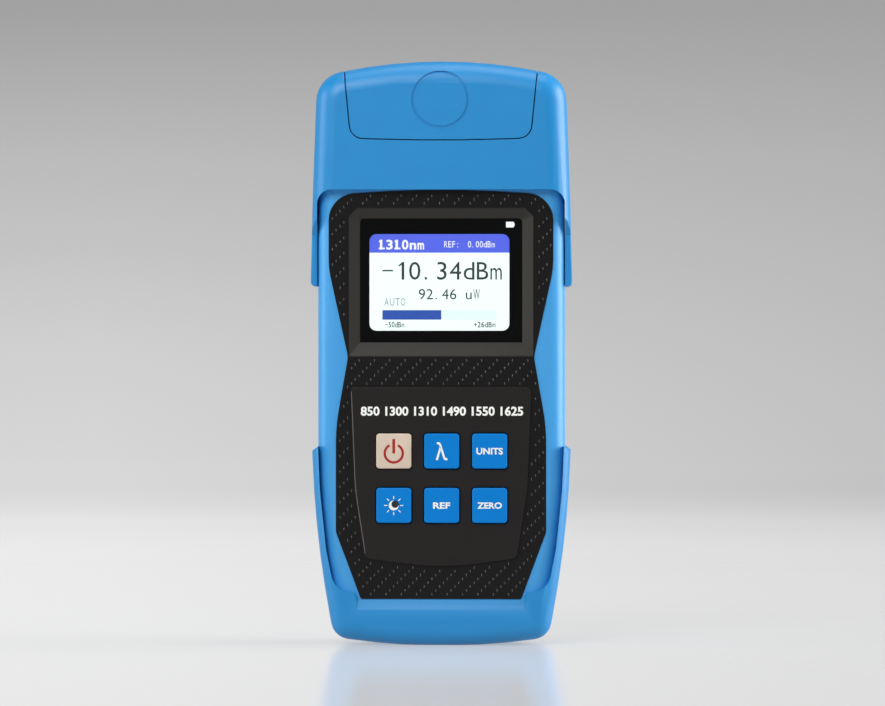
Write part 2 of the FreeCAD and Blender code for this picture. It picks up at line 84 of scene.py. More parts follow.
LOG = logging.getLogger("power_meter")
MM = 0.001
KEY_NAMES = ("power", "wavelength", "units", "light", "reference", "zero")
CELLS = (1, 2, 3)
NEAR = 0.002 * MM  # points of a solid that are nearer than this are one
TOUCHING = 1e-7  # points that an operator doubled
FLAT_DEG = 0.5  # faces that turn by less than this are one
FACING_OUT = -0.9  # a face whose normal has a smaller Y than this looks out of the display
TYPE_DEPTH = 0.01  # half the depth of type, as a share of its size
PRINT = 0.03 * MM  # thickness of print
MOST_CRISP_CORNERS = 5  # a swept section with more corners than this is shaded as a round one

Colour = tuple[float, float, float]
Span = tuple[float, float]
Corner = tuple[float, float, float]
Feeds = dict[str | int, object]


def srgb(red: int, green: int, blue: int) -> Colour:
    """Turn an 8-bit display colour into the renderer's linear colour.

    Args:
        red: Red, 0 to 255.
        green: Green, 0 to 255.
        blue: Blue, 0 to 255.

    Returns:
        The linear colour.
    """
    shares = [value / 255 for value in (red, green, blue)]
    return tuple(share / 12.92 if share <= 0.04045 else ((share + 0.055) / 1.055) ** 2.4 for share in shares)


# ------------------------------------------------------------------ finishes
class Recipe:
    """Shader nodes of one material, added and linked in short steps."""

    def __init__(self, name: str) -> None:
        """Start a material on object coordinates.

        Args:
            name: Its name.
        """
        self.material = bpy.data.materials.new(name)
        self.material.use_nodes = True
        self.tree = self.material.node_tree
        self.shader = self.tree.nodes["Principled BSDF"]
        self.place = self.add("TexCoord").outputs["Object"]

    def feed(self, node: bpy.types.Node, inputs: Feeds) -> bpy.types.Node:
        """Set or link a node's inputs.

        Args:
            node: The node.
            inputs: For each input, its value or the socket that feeds it.

        Returns:
            The same node.
        """
        for key, value in inputs.items():
            if isinstance(value, bpy.types.NodeSocket):
                self.tree.links.new(value, node.inputs[key])
            else:
                node.inputs[key].default_value = value
        return node

    def add(self, kind: str, inputs: Feeds | None = None, **settings: str) -> bpy.types.Node:
        """Add a node.

        Args:
            kind: Its type, less the words that every type starts with.
            inputs: For each input, its value or the socket that feeds it.
            **settings: Its other settings.

        Returns:
            The node.
        """
        node = self.tree.nodes.new(f"ShaderNode{kind}")
        for name, setting in settings.items():
            setattr(node, name, setting)
        return self.feed(node, inputs or {})

    def noise(self, pitch: float, detail: float = 2.0,
              place: bpy.types.NodeSocket | None = None) -> bpy.types.NodeSocket:
        """Add a noise texture whose features are about pitch across.

        Args:
            pitch: Feature size.
            detail: Octaves.
            place: Coordinates that it reads, if not the material's own.

        Returns:
            The noise value.
        """
        inputs = {"Scale": 1.0 / pitch, "Detail": detail, "Vector": place or self.place}
        return self.add("TexNoise", inputs).outputs["Fac"]

    def drifting(self, value: bpy.types.NodeSocket, colour: Colour, drift: float,
                 ends: Span = (0.0, 1.0)) -> bpy.types.NodeSocket:
        """Let a colour drift with a value.

        Args:
            value: The value.
            colour: Mean colour.
            drift: How far it drifts, as a share.
            ends: Where the drift starts and ends, on the value.

        Returns:
            The drifting colour.
        """
        ramp = self.add("ValToRGB", {"Fac": value})
        for stop, end, share in zip(ramp.color_ramp.elements, ends, (1 - drift, 1 + drift)):
            stop.position = end
            stop.color = (*(c * share for c in colour), 1)
        return ramp.outputs["Color"]


@dataclass(frozen=True)
class Look:
    """What a piece is finished with.

    Attributes:
        name: Name of the material.
    """

    name: str

    def material(self) -> bpy.types.Material:
        """Build the material, or return it if it is there already.

        Returns:
            The finished material.
        """
        known = bpy.data.materials.get(self.name)
        if known is not None:
            return known
        recipe = Recipe(self.name)
        self.fill(recipe)
        return recipe.material

    def fill(self, recipe: Recipe) -> None:
        """Add the look's own nodes; each kind of look has its own."""
        raise NotImplementedError


class Weave(Enum):
    """Relief that a finish carries."""

    GRAIN = "grain"
    TWILL = "twill"
    BRUSHED = "brushed"


@dataclass(frozen=True)
class Finish(Look):
    """A surface finish.

    Attributes:
        colour: Linear base colour.
        roughness: Mean roughness.
        relief: Kind of relief.
        relief_pitch: Size of the relief's features.
        relief_depth: Height of the relief.
        mottle: How far the colour drifts, as a share.
        metallic: 1 for bare metal.
        coat: Strength of a clear coat.
        specular: Specular level at normal incidence.
        inner: Colour of what lies behind inner_from, if it differs.
        inner_from: Y behind which the inner colour starts.
    """

    colour: Colour
    roughness: float = 0.5
    relief: Weave = Weave.GRAIN
    relief_pitch: float = 0.35 * MM
    relief_depth: float = 0.006 * MM
    mottle: float = 0.06
    metallic: float = 0.0
    coat: float = 0.0
    specular: float = 0.5
    inner: Colour | None = None
    inner_from: float = 0.0

    COLOUR_PITCH = 9 * MM
    COLOUR_ENDS = (0.3, 0.7)
    FINE_DETAIL = 3.0
    WEAR_PITCH = 3 * MM
    WEAR = 0.05
    BRUSH_STRETCH = (1.0, 1.0, 0.04)
    TWILL_TURN = (0.0, math.radians(45), 0.0)
    TWILL_BANDS = 3.2
    TWILL_WOBBLE = 0.6

    def fill(self, recipe: Recipe) -> None:
        """Add the finish's nodes.

        Args:
            recipe: Material that they go into.
        """
        bump = recipe.add("Bump", {"Strength": 1.0, "Distance": self.relief_depth,
                                   "Height": self._height(recipe)})
        recipe.feed(recipe.shader, {
            "Metallic": self.metallic, "Coat Weight": self.coat, "Specular IOR Level": self.specular,
            "Base Color": self._colour(recipe), "Roughness": self._roughness(recipe),
            "Normal": bump.outputs["Normal"]})

    def _colour(self, recipe: Recipe) -> bpy.types.NodeSocket:
        """Drift the base colour slowly over the surface.

        Args:
            recipe: Material that gets the nodes.

        Returns:
            The colour.
        """
        drift = recipe.noise(self.COLOUR_PITCH, self.FINE_DETAIL)
        tone = recipe.drifting(drift, self.colour, self.mottle, self.COLOUR_ENDS)
        if self.inner is None:
            return tone
        split = recipe.add("SeparateXYZ", {"Vector": recipe.place})
        behind = recipe.add("Math", {0: split.outputs["Y"], 1: self.inner_from}, operation="GREATER_THAN")
        mix = recipe.add("Mix", {"Factor": behind.outputs["Value"], "A": tone, "B": (*self.inner, 1)},
                         data_type="RGBA")
        return mix.outputs["Result"]

    def _roughness(self, recipe: Recipe) -> bpy.types.NodeSocket:
        """Vary the roughness a little, as handling does.

        Args:
            recipe: Material that gets the nodes.

        Returns:
            The roughness.
        """
        spread = recipe.add("MapRange", {"Value": recipe.noise(self.WEAR_PITCH, self.FINE_DETAIL),
                                         "To Min": self.roughness - self.WEAR,
                                         "To Max": self.roughness + self.WEAR})
        return spread.outputs["Result"]

    def _height(self, recipe: Recipe) -> bpy.types.NodeSocket:
        """Make the relief's height.

        Args:
            recipe: Material that gets the nodes.

        Returns:
            The height, 0 to 1.
        """
        if self.relief is Weave.GRAIN:
            return recipe.noise(self.relief_pitch)
        if self.relief is Weave.BRUSHED:
            stretch = recipe.add("Mapping", {"Vector": recipe.place, "Scale": self.BRUSH_STRETCH})
            return recipe.noise(self.relief_pitch, place=stretch.outputs["Vector"])
        turn = recipe.add("Mapping", {"Vector": recipe.place, "Rotation": self.TWILL_TURN})
        wave = recipe.add("TexWave", {
            "Vector": turn.outputs["Vector"], "Scale": 1.0 / (self.relief_pitch * self.TWILL_BANDS),
            "Distortion": self.TWILL_WOBBLE, "Detail Scale": 1.0}, bands_direction="X")
        return wave.outputs["Fac"]


@dataclass(frozen=True)
class Glow(Look):
    """A lit part of the display, slightly uneven as a backlight is.

    Attributes:
        colour: Linear colour of the light.
        strength: Brightness.
        unevenness: How far the brightness drifts, as a share.
        pitch: Size of the drift's patches.
        roughness: Roughness of the unlit face.
    """

    colour: Colour
    strength: float = 1.0
    unevenness: float = 0.04
    pitch: float = 25 * MM
    roughness: float = 0.6

    def fill(self, recipe: Recipe) -> None:
        """Add the light's nodes.

        Args:
            recipe: Material that they go into.
        """
        light = recipe.drifting(recipe.noise(self.pitch), self.colour, self.unevenness)
        recipe.feed(recipe.shader, {"Base Color": (0, 0, 0, 1), "Roughness": self.roughness,
                                    "Emission Color": light, "Emission Strength": self.strength})


@dataclass(frozen=True)
class ClearWindow(Look):
    """Clear acrylic with a faint ripple.

    Attributes:
        roughness: Roughness of its polished faces.
        index: Index of refraction.
        specular: Specular level at normal incidence.
        ripple_pitch: Size of the ripple.
        ripple_depth: Height of the ripple.
    """

    roughness: float = 0.03
    index: float = 1.49
    specular: float = 0.12
    ripple_pitch: float = 12 * MM
    ripple_depth: float = 0.002 * MM

    def fill(self, recipe: Recipe) -> None:
        """Add the acrylic's nodes.

        Args:
            recipe: Material that they go into.
        """
        bump = recipe.add("Bump", {"Distance": self.ripple_depth, "Height": recipe.noise(self.ripple_pitch)})
        recipe.feed(recipe.shader, {
            "Base Color": (1, 1, 1, 1), "Roughness": self.roughness, "Transmission Weight": 1.0,
            "IOR": self.index, "Specular IOR Level": self.specular, "Normal": bump.outputs["Normal"]})


@dataclass(frozen=True)
class Paper(Look):
    """The backdrop's paper: pale glossy floor, greyer matte wall, seen from the inside only; its graded
    lightness and its glow are painted light.

    Attributes:
        wall_shades: Heights, and the painted lightness there at the left and at the right, darker towards the
            top and at the right as the lamps' falloff makes it; the foot's comes first.
        floor_shades: Painted lightness of the floor at the left and at the right, darker at the right.
        half_wide: From the middle to where left and right hold.
        matte_span: Where, from front to back, the floor's gloss gives way to the wall's matte.
        glows: Painted glow of the floor and the wall, a brightness of their own that fills in the shade the
            lamps leave.
        glow_height: Height from which the wall's holds.
        gloss: Specular level of the floor.
        roughness: Roughness of the floor.
        lit_share: How much of the lightness is left to the lamps.
    """

    wall_shades: tuple[tuple[float, float, float], ...] = (
        (0.0, 1.0, 0.80), (0.0045, 0.90, 0.705), (0.0085, 0.825, 0.635), (0.017, 0.735, 0.549),
        (0.033, 0.668, 0.513), (0.049, 0.645, 0.499), (0.10, 0.585, 0.462), (0.149, 0.513, 0.433),
        (0.20, 0.462, 0.400), (0.283, 0.336, 0.324))
    floor_shades: Span = (0.72, 0.59)
    half_wide: float = 0.23
    matte_span: Span = (0.6, 1.1)
    glows: Span = (0.5, 0.61)
    glow_height: float = 0.03
    gloss: float = 0.06
    roughness: float = 0.16
    lit_share: float = 0.45

    def fill(self, recipe: Recipe) -> None:
        """Add the paper's nodes.

        Args:
            recipe: Material that they go into.
        """
        split = recipe.add("SeparateXYZ", {"Vector": recipe.place}).outputs
        ramp = recipe.add("ValToRGB", {"Fac": split["Z"]})
        stops = ramp.color_ramp.elements
        for index, (height, at_left, at_right) in enumerate(self.wall_shades):
            stop = stops[index] if index < len(stops) else stops.new(height)
            stop.position = height
            stop.color = (at_left, at_right, 0, 1)
        sides = recipe.add("SeparateColor", {"Color": ramp.outputs["Color"]}).outputs
        glow = recipe.add("MapRange", {"Value": split["Z"], "From Max": self.glow_height,
                                       "To Min": self.glows[0], "To Max": self.glows[1]}).outputs["Result"]
        recipe.feed(recipe.shader, {"Roughness": self.roughness})
        matte = recipe.add("BsdfPrincipled")
        for paper, gloss, (left, right) in ((recipe.shader, self.gloss, self.floor_shades),
                                            (matte, 0.0, (sides["Red"], sides["Green"]))):
            shade = recipe.add("MapRange", {
                "Value": split["X"], "From Min": -self.half_wide, "From Max": self.half_wide,
                "To Min": left, "To Max": right}).outputs["Result"]
            base = recipe.add("VectorMath", {"Vector": shade, "Scale": self.lit_share}, operation="SCALE")
            recipe.feed(paper, {"Specular IOR Level": gloss, "Base Color": base.outputs["Vector"],
                                "Emission Color": shade, "Emission Strength": glow})
        far = recipe.add("MapRange", {"Value": split["Y"], "From Min": self.matte_span[0],
                                      "From Max": self.matte_span[1]})
        papers = recipe.add("MixShader", {0: far.outputs["Result"], 1: recipe.shader.outputs["BSDF"],
                                          2: matte.outputs["BSDF"]})
        clear, geometry = recipe.add("BsdfTransparent"), recipe.add("NewGeometry")
        one_sided = recipe.add("MixShader", {0: geometry.outputs["Backfacing"],
                                             1: papers.outputs["Shader"], 2: clear.outputs["BSDF"]})
        recipe.feed(recipe.tree.nodes["Material Output"], {"Surface": one_sided.outputs["Shader"]})


GUARD_BLUE = Finish("guard_blue_moulding", (0.009, 0.240, 0.57), 0.4, relief_pitch=0.5 * MM, mottle=0.015)
# The case's blue, partly its own colour and partly painted light: paler than the guards' to stand in for the
# light on the recessed strip round the panel.
CASE_BLUE_PAINTED_PALER = Finish("case_blue_painted_paler", (0.050, 0.335, 0.72), 0.38, mottle=0.015)
# Behind inner_from the panel's black plastic is painted lighter: painted light on the walls and floor of the
# display well.
PANEL_BLACK = Finish("panel_black_twill", (0.0062, 0.0052, 0.0052), 0.3, Weave.TWILL, 0.6 * MM, 0.015 * MM,
                     specular=0.25, inner=(0.026, 0.024, 0.020), inner_from=-15.95 * MM)
# Raised dashes of the weave, the panel's black painted lighter: a painted glint on top of the real glints
# from the lamps.
DASH_GLINT = Finish("panel_dash_painted_glint", (0.03, 0.028, 0.026), 0.22, specular=1.0, relief_depth=0.002 * MM)
PLATE_BLACK = Finish("keypad_black_satin", (0.0135, 0.0110, 0.0105), 0.35, specular=0.25)
# Pale strip on the keypad plate's left edge: a painted highlight where the edge catches the light.
PLATE_EDGE_GLINT = Finish("keypad_edge_painted_glint", (0.16, 0.14, 0.13), 0.4, relief_depth=0.001 * MM)
KEY_BLUE = Finish("key_blue_satin", (0.0008, 0.20, 0.62), 0.35, specular=0.15, mottle=0.02)
KEY_CREAM = Finish("key_cream_satin", srgb(212, 194, 174), 0.45)
INK_WHITE = Finish("ink_white", srgb(245, 245, 240), 0.5, relief_depth=0.002 * MM)
INK_RED = Finish("ink_red", srgb(164, 2, 14), 0.5, relief_depth=0.002 * MM)
INK_DARK = Finish("ink_dark", srgb(12, 20, 38), 0.5, relief_depth=0.002 * MM)
BAY_BLACK = Finish("bay_black_moulding", srgb(26, 26, 28), 0.55)
BOARD_GREEN = Finish("board_green_mask", srgb(16, 84, 46), 0.35, relief_pitch=1.2 * MM)
SWITCH_BLACK = Finish("switch_black", srgb(22, 22, 22), 0.5)
NICKEL = Finish("nickel_plate", srgb(202, 200, 194), 0.22, Weave.BRUSHED, 0.2 * MM, metallic=1.0)
STEEL = Finish("plain_steel", srgb(176, 178, 182), 0.32, Weave.BRUSHED, 0.2 * MM, metallic=1.0)
CERAMIC = Finish("white_ceramic", srgb(238, 236, 228), 0.25)
CELL_WRAP = Finish("cell_wrap_charcoal", srgb(44, 46, 50), 0.3, coat=0.4)
LIGHT_GUIDE = Finish("light_guide_white", srgb(232, 232, 228), 0.5)
SCREEN_BLACK = Finish("screen_mask_black", srgb(3, 3, 4), 0.3, specular=0.2, relief_depth=0.001 * MM)

LIT_BODY = Glow("lit_pale", srgb(238, 255, 252), 1.13)
LIT_HEADER = Glow("lit_header_blue", srgb(84, 104, 236), 1.0)
LIT_BAR = Glow("lit_bar_blue", srgb(38, 80, 176), 1.0)
LIT_TRACK = Glow("lit_track_pale", srgb(226, 255, 255), 1.1)
LIT_WHITE = Glow("lit_white", srgb(250, 252, 255), 1.0)
LIT_INK = Glow("lit_ink_dark", srgb(34, 52, 44), 1.0)
LIT_INK_GREY = Glow("lit_ink_grey", srgb(160, 176, 176), 1.0)


# ------------------------------------------------------------------ mesh helpers
def around(middle: float, half: float) -> Span:
    """Give the two ends of what reaches half to either side of a middle."""
    return middle - half, middle + half


def as_object(name: str, mesh: bmesh.types.BMesh) -> bpy.types.Object:
    """Put a mesh into an object of the scene.

    Args:
        name: Name of the object.
        mesh: The mesh; it is freed.

    Returns:
        The object.
    """
    data = bpy.data.meshes.new(name)
    mesh.to_mesh(data)
    mesh.free()
    made = bpy.data.objects.new(name, data)
    bpy.context.scene.collection.objects.link(made)
    return made


def new_piece(name: str, mesh: bmesh.types.BMesh, look: Look,
              body: str = "root") -> bpy.types.Object:
    """Turn a finished mesh into a piece that rides on a body.

    Args:
        name: Name of the piece.
        mesh: Its mesh, already in place.
        look: What it is finished with.
        body: Body that it rides on.

    Returns:
        The piece.
    """
    piece = as_object(name, mesh)
    piece.data.materials.append(look.material())
    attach(piece, body)
    return piece


def dress(node: str, look: Look) -> None:
    """Give a carried solid a finish of its own.

    Args:
        node: Name of the solid.
        look: What it is finished with.
    """
    solid = frame["nodes"][node]
    solid.data.materials.clear()
    solid.data.materials.append(look.material())


@dataclass(frozen=True)
class Rim:
    """Crisp outer edges of a moulding that get a small round, by the box they lie in.

    Attributes:
        low: Lowest corner of the box, in mm.
        high: Highest corner of the box, in mm.
        width: Width of the round, in mm.
        segments: Steps across the round.
        hollow: Whether inner corners are rounded instead of outer edges.
    """

    low: Corner
    high: Corner
    width: float
    segments: int = 2
    hollow: bool = False

    LEAST_TURN = 0.55

    def holds(self, edge: bmesh.types.BMEdge) -> bool:
        """Say whether an edge is crisp, turns the right way and lies inside the box.

        Args:
            edge: The edge.

        Returns:
            True if it does.
        """
        if len(edge.link_faces) != 2 or edge.is_convex == self.hollow:
            return False
        return edge.calc_face_angle(0.0) >= self.LEAST_TURN and all(
            low * MM <= at <= high * MM
            for end in edge.verts for low, at, high in zip(self.low, end.co, self.high))

    def soften(self, mesh: bmesh.types.BMesh) -> None:
        """Round the edges that the box holds.

        Args:
            mesh: Mesh of the moulding.
        """
        edges = [edge for edge in mesh.edges if self.holds(edge)]
        if edges:
            bmesh.ops.bevel(mesh, geom=edges, offset=self.width * MM, offset_type="OFFSET",
                            segments=self.segments, profile=0.5, affect="EDGES", clamp_overlap=True,
                            material=-1)

    def pair(self) -> tuple["Rim", "Rim"]:
        """Give this rim and its mirror image across the meter."""
        low, high = (-self.high[0], *self.low[1:]), (-self.low[0], *self.high[1:])
        return self, Rim(low, high, self.width, self.segments, self.hollow)


def face_rim(y: float, top: float, width: float) -> Rim:
    """Give the rim of an upright face.

    Args:
        y: The face, in mm.
        top: Height up to which its edges are rounded, in mm.
        width: Width of the round, in mm.

    Returns:
        The rim.
    """
    return Rim((-40.0, y - 0.1, 10.0), (40.0, y + 0.1, top), width)


def merged(node: str) -> bmesh.types.BMesh:
    """Copy a solid's mesh with its triangles joined and its flat faces whole.

    Args:
        node: Name of the solid.

    Returns:
        The copy.
    """
    mesh = bmesh.new()
    mesh.from_mesh(frame["nodes"][node].data)
    bmesh.ops.remove_doubles(mesh, verts=mesh.verts, dist=NEAR)
    bmesh.ops.dissolve_degenerate(mesh, edges=mesh.edges, dist=NEAR)
    bmesh.ops.dissolve_limit(mesh, angle_limit=math.radians(FLAT_DEG), verts=mesh.verts, edges=mesh.edges)
    return mesh


def smooth_copy(node: str, look: Look, body: str = "root", sharp_deg: float = 32.0,
                rims: tuple[Rim, ...] = (), cutter: bmesh.types.BMesh | None = None) -> None:
    """Stand a smooth-shaded copy in for a moulded solid.

    Args:
        node: Solid that is copied.
        look: What the copy is finished with.
        body: Body that it rides on.
        sharp_deg: Edges that turn by more than this stay crisp.
        rims: Edges that get a small round.
        cutter: Closed form that is carved out of it.
    """
    mesh = merged(node)
    if cutter is not None:
        mesh = carved(mesh, cutter)
    for rim in rims:
        rim.soften(mesh)
    for face in mesh.faces:
        face.smooth = True
    for edge in mesh.edges:
        if len(edge.link_faces) == 2:
            edge.smooth = edge.calc_face_angle(0.0) < math.radians(sharp_deg)
    piece = new_piece(f"{node}_dressed", mesh, look, body)
    weighted = piece.modifiers.new("even_normals", "WEIGHTED_NORMAL")
    weighted.keep_sharp = True
    weighted.weight = 90
    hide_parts(node)


def carved(mesh: bmesh.types.BMesh, cutter: bmesh.types.BMesh) -> bmesh.types.BMesh:
    """Carve one closed mesh out of another, with helper objects that are taken away again.

    Args:
        mesh: Mesh that is carved; it is freed.
        cutter: Mesh that carves; it is freed.

    Returns:
        What is left.
    """
    stock, tool = as_object("helper", mesh), as_object("helper", cutter)
    cut = stock.modifiers.new("carve", "BOOLEAN")
    cut.operation = "DIFFERENCE"
    cut.solver = "EXACT"
    cut.object = tool
    result = as_mesh(stock)
    for helper in (stock, tool):
        data = helper.data
        bpy.data.objects.remove(helper)
        bpy.data.meshes.remove(data)
    return result


def as_mesh(holder: bpy.types.Object) -> bmesh.types.BMesh:
    """Take the mesh that an object's modifiers or type make.

    Args:
        holder: The object.

    Returns:
        The mesh.
    """
    bpy.context.view_layer.update()
    data = bpy.data.meshes.new_from_object(holder.evaluated_get(bpy.context.evaluated_depsgraph_get()))
    mesh = bmesh.new()
    mesh.from_mesh(data)
    bpy.data.meshes.remove(data)
    return mesh


def search_tree(node: str) -> BVHTree:
    """Make a tree for casting rays at a solid.

    Args:
        node: Name of the solid.

    Returns:
        The tree.
    """
    mesh = bmesh.new()
    mesh.from_mesh(frame["nodes"][node].data)
    tree = BVHTree.FromBMesh(mesh)
    mesh.free()
    return tree


def join(meshes: list[bmesh.types.BMesh]) -> bmesh.types.BMesh:
    """Put several meshes into one.

    Args:
        meshes: Meshes to join; they are freed.

    Returns:
        The joined mesh.
    """
    whole = bmesh.new()
    for mesh in meshes:
        data = bpy.data.meshes.new("part")
        mesh.to_mesh(data)
        mesh.free()
        whole.from_mesh(data)
        bpy.data.meshes.remove(data)
    return whole


def add_block(mesh: bmesh.types.BMesh, size: Corner, at: Corner, turn_deg: float = 0.0) -> None:
    """Add a block to a mesh.

    Args:
        mesh: The mesh.
        size: The block's size.
        at: Its middle.
        turn_deg: How far it is turned about Z.
    """
    made = bmesh.ops.create_cube(mesh, size=1.0)["verts"]
    bmesh.ops.scale(mesh, vec=size, verts=made)
    if turn_deg:
        bmesh.ops.rotate(mesh, matrix=Matrix.Rotation(math.radians(turn_deg), 3, "Z"), verts=made)
    bmesh.ops.translate(mesh, vec=at, verts=made)


def plaque(x: Span, z: Span, y: float, thick: float, radius: float = 0.0) -> bmesh.types.BMesh:
    """Make a thin upright plate, with rounded corners if asked.

    Args:
        x: Left and right edges.
        z: Lower and upper edges.
        y: Front face.
        thick: Thickness, backwards.
        radius: Corner radius.

    Returns:
        The plate's mesh.
    """
    mesh = bmesh.new()
    add_block(mesh, (x[1] - x[0], thick, z[1] - z[0]), (sum(x) / 2, y + thick / 2, sum(z) / 2))
    if radius > 0:
        along = [e for e in mesh.edges if abs((e.verts[0].co - e.verts[1].co).y) > thick / 2]
        bmesh.ops.bevel(mesh, geom=along, offset=radius, segments=6, affect="EDGES", profile=0.5, material=-1)
    return mesh


def glyphs(text: str, weight: float) -> bmesh.types.BMesh:
    """Set plain type flat, its baseline along X and its height 1.

    Args:
        text: What is set.
        weight: Extra stroke weight, as a share of the type size.

    Returns:
        The type's mesh.
    """
    curve = bpy.data.curves.new("type", "FONT")
    curve.body = text
    curve.size = 1.0
    curve.offset = weight
    curve.extrude = TYPE_DEPTH
    curve.resolution_u = 3
    holder = bpy.data.objects.new("type", curve)
    bpy.context.scene.collection.objects.link(holder)
    mesh = as_mesh(holder)
    bpy.data.objects.remove(holder)
    bpy.data.curves.remove(curve)
    bmesh.ops.remove_doubles(mesh, verts=mesh.verts, dist=1e-4)
    return mesh


@dataclass(frozen=True)
class CellType:
    """Type as a small display draws it, every character in a cell of its own.

    Attributes:
        cell: Width of a cell, as a share of the type size, as all the others are.
        widest: Most that a character may fill.
        stretch: Most that a character is widened.
        point_left: How far to the left of its cell's middle a point stands.
        stroke: Width of an added stroke at no extra weight.
        minus: Length of a minus, and its middle across and up.
        flag: Length of the flag of a 1, and its middle, left of its stem's right edge and below its top.
        flag_turn_deg: How far the flag is turned.
        foot: Length of the foot of a bold 1, and its middle, left of its stem's right edge.
        bold: Extra weight from which a 1 has a foot.
    """

    cell: float = 0.64
    widest: float = 0.54
    stretch: float = 1.26
    point_left: float = 0.12
    stroke: float = 0.06
    minus: Corner = (0.5, 0.25, 0.35)
    flag: Corner = (0.2, 0.13, 0.09)
    flag_turn_deg: float = 38.0
    foot: Span = (0.4, 0.04)
    bold: float = 0.01

    def glyph(self, character: str, weight: float) -> bmesh.types.BMesh:
        """Make one character, with a long minus and a 1 that has a flag.

        Args:
            character: The character.
            weight: Extra stroke weight, as a share of the type size.

        Returns:
            The character's mesh.
        """
        thick, deep = self.stroke + 2 * weight, 2 * TYPE_DEPTH
        if character == "-":
            mesh = bmesh.new()
            add_block(mesh, (self.minus[0], thick, deep), (self.minus[1], self.minus[2], 0))
            return mesh
        mesh = glyphs(character, weight)
        if character == "1":
            right, top = max(v.co.x for v in mesh.verts), max(v.co.y for v in mesh.verts)
            add_block(mesh, (self.flag[0], thick, deep), (right - self.flag[1], top - self.flag[2], 0),
                      self.flag_turn_deg)
            if weight > self.bold:
                add_block(mesh, (self.foot[0], thick, deep), (right - self.foot[1], thick / 2, 0))
        return mesh

    def line(self, text: str, weight: float) -> bmesh.types.BMesh:
        """Set a line of type flat.

        Args:
            text: What is set.
            weight: Extra stroke weight, as a share of the type size.

        Returns:
            The type's mesh.
        """
        placed = []
        for index, character in enumerate(text):
            if character == " ":
                continue
            mesh = self.glyph(character, weight)
            xs = [v.co.x for v in mesh.verts]
            wide = max(xs) - min(xs)
            bmesh.ops.translate(mesh, vec=(-min(xs) - wide / 2, 0, 0), verts=mesh.verts)
            stretch = 1.0 if character in ".:-" else self.stretch
            bmesh.ops.scale(mesh, vec=(min(stretch, self.widest / wide), 1, 1), verts=mesh.verts)
            across = index * self.cell - (self.point_left if character == "." else 0.0)
            bmesh.ops.translate(mesh, vec=(across, 0, 0), verts=mesh.verts)
            placed.append(mesh)
        return join(placed)


def lettering(text: str, x: Span, z: Span, y: float, weight: float = 0.0,
              in_cells: bool = False) -> bmesh.types.BMesh:
    """Set plain type so that it fills a box on an upright face.

    Args:
        text: What is set.
        x: Left and right edges of the box.
        z: Lower and upper edges of the box.
        y: Front of the type.
        weight: Extra stroke weight, as a share of the type size.
        in_cells: Whether every character takes the same width.

    Returns:
        The type's mesh.
    """
    mesh = CellType().line(text, weight) if in_cells else glyphs(text, weight)
    xs = [v.co.x for v in mesh.verts]
    ys = [v.co.y for v in mesh.verts]
    wide, tall = max(xs) - min(xs), max(ys) - min(ys)
    bmesh.ops.translate(mesh, vec=(-min(xs), -min(ys), -TYPE_DEPTH), verts=mesh.verts)
    bmesh.ops.scale(mesh, vec=((x[1] - x[0]) / wide, (z[1] - z[0]) / tall, PRINT / (2 * TYPE_DEPTH)),
                    verts=mesh.verts)
    bmesh.ops.rotate(mesh, matrix=Matrix.Rotation(math.radians(90), 3, "X"), verts=mesh.verts)
    bmesh.ops.translate(mesh, vec=(x[0], y, z[0]), verts=mesh.verts)
    return mesh


def swept(section: tuple[Span, ...], place: Matrix, turns: float = 1.0, pitch: float = 0.0,
          steps: int = 24) -> bmesh.types.BMesh:
    """Sweep a closed section round an axis, as a ring or as a coil.

    Args:
        section: Radius and height of each of its corners, in mm.
        place: Where the axis stands.
        turns: How many times round.
        pitch: Rise of each turn, in mm.
        steps: Steps in a turn.

    Returns:
        The swept mesh.
    """
    mesh = bmesh.new()
    spots = [mesh.verts.new((r * MM, 0.0, h * MM)) for r, h in section]
    lines = [mesh.edges.new((spots[i - 1], spots[i])) for i in range(len(spots))
             if section[i][0] > 0 or section[i - 1][0] > 0]
    count = round(turns * steps)
    bmesh.ops.spin(mesh, geom=spots + lines, cent=(0, 0, 0), axis=(0, 0, 1), angle=math.tau * turns,
                   dvec=(0, 0, pitch * MM / steps), steps=count, use_merge=pitch == 0, use_duplicate=False)
    bmesh.ops.remove_doubles(mesh, verts=mesh.verts, dist=TOUCHING)
    if pitch:
        bmesh.ops.holes_fill(mesh, edges=mesh.edges, sides=len(section))
    bmesh.ops.recalc_face_normals(mesh, faces=mesh.faces)
    bmesh.ops.transform(mesh, matrix=place, verts=mesh.verts)
    for face in mesh.faces:
        face.smooth = len(section) > MOST_CRISP_CORNERS
    return mesh


def sector(centre: Vector, radii: Span, thick: float, steps: int = 40, start_deg: float = 0.0,
           sweep_deg: float = 360.0) -> bmesh.types.BMesh:
    """Sweep a flat ring, or part of one, on an upright face.

    Args:
        centre: Middle of the ring, on its front face.
        radii: Inner and outer radius.
        thick: Thickness, backwards.
        steps: Steps of the sweep.
        start_deg: Where it starts, from +X towards +Z.
        sweep_deg: How far it goes.

    Returns:
        The ring's mesh.
    """
    mesh = bmesh.new()
    inner, outer = radii
    corners = ((inner, 0.0), (outer, 0.0), (outer, thick), (inner, thick))
    spots = [mesh.verts.new((radius, y, 0.0)) for radius, y in corners]
    sides = [mesh.edges.new((spots[i - 1], spots[i])) for i in range(4) if inner > 0 or i != 0]
    whole = sweep_deg == 360.0
    bmesh.ops.rotate(mesh, matrix=Matrix.Rotation(-math.radians(start_deg), 3, "Y"), verts=mesh.verts)
    bmesh.ops.spin(mesh, geom=spots + sides, cent=(0, 0, 0), axis=(0, -1, 0), angle=math.radians(sweep_deg),
                   steps=steps, use_merge=whole, use_duplicate=False)
    bmesh.ops.remove_doubles(mesh, verts=mesh.verts, dist=TOUCHING)
    if not whole:
        bmesh.ops.holes_fill(mesh, edges=mesh.edges, sides=4)
    bmesh.ops.recalc_face_normals(mesh, faces=mesh.faces)
    bmesh.ops.translate(mesh, vec=centre, verts=mesh.verts)
    return mesh


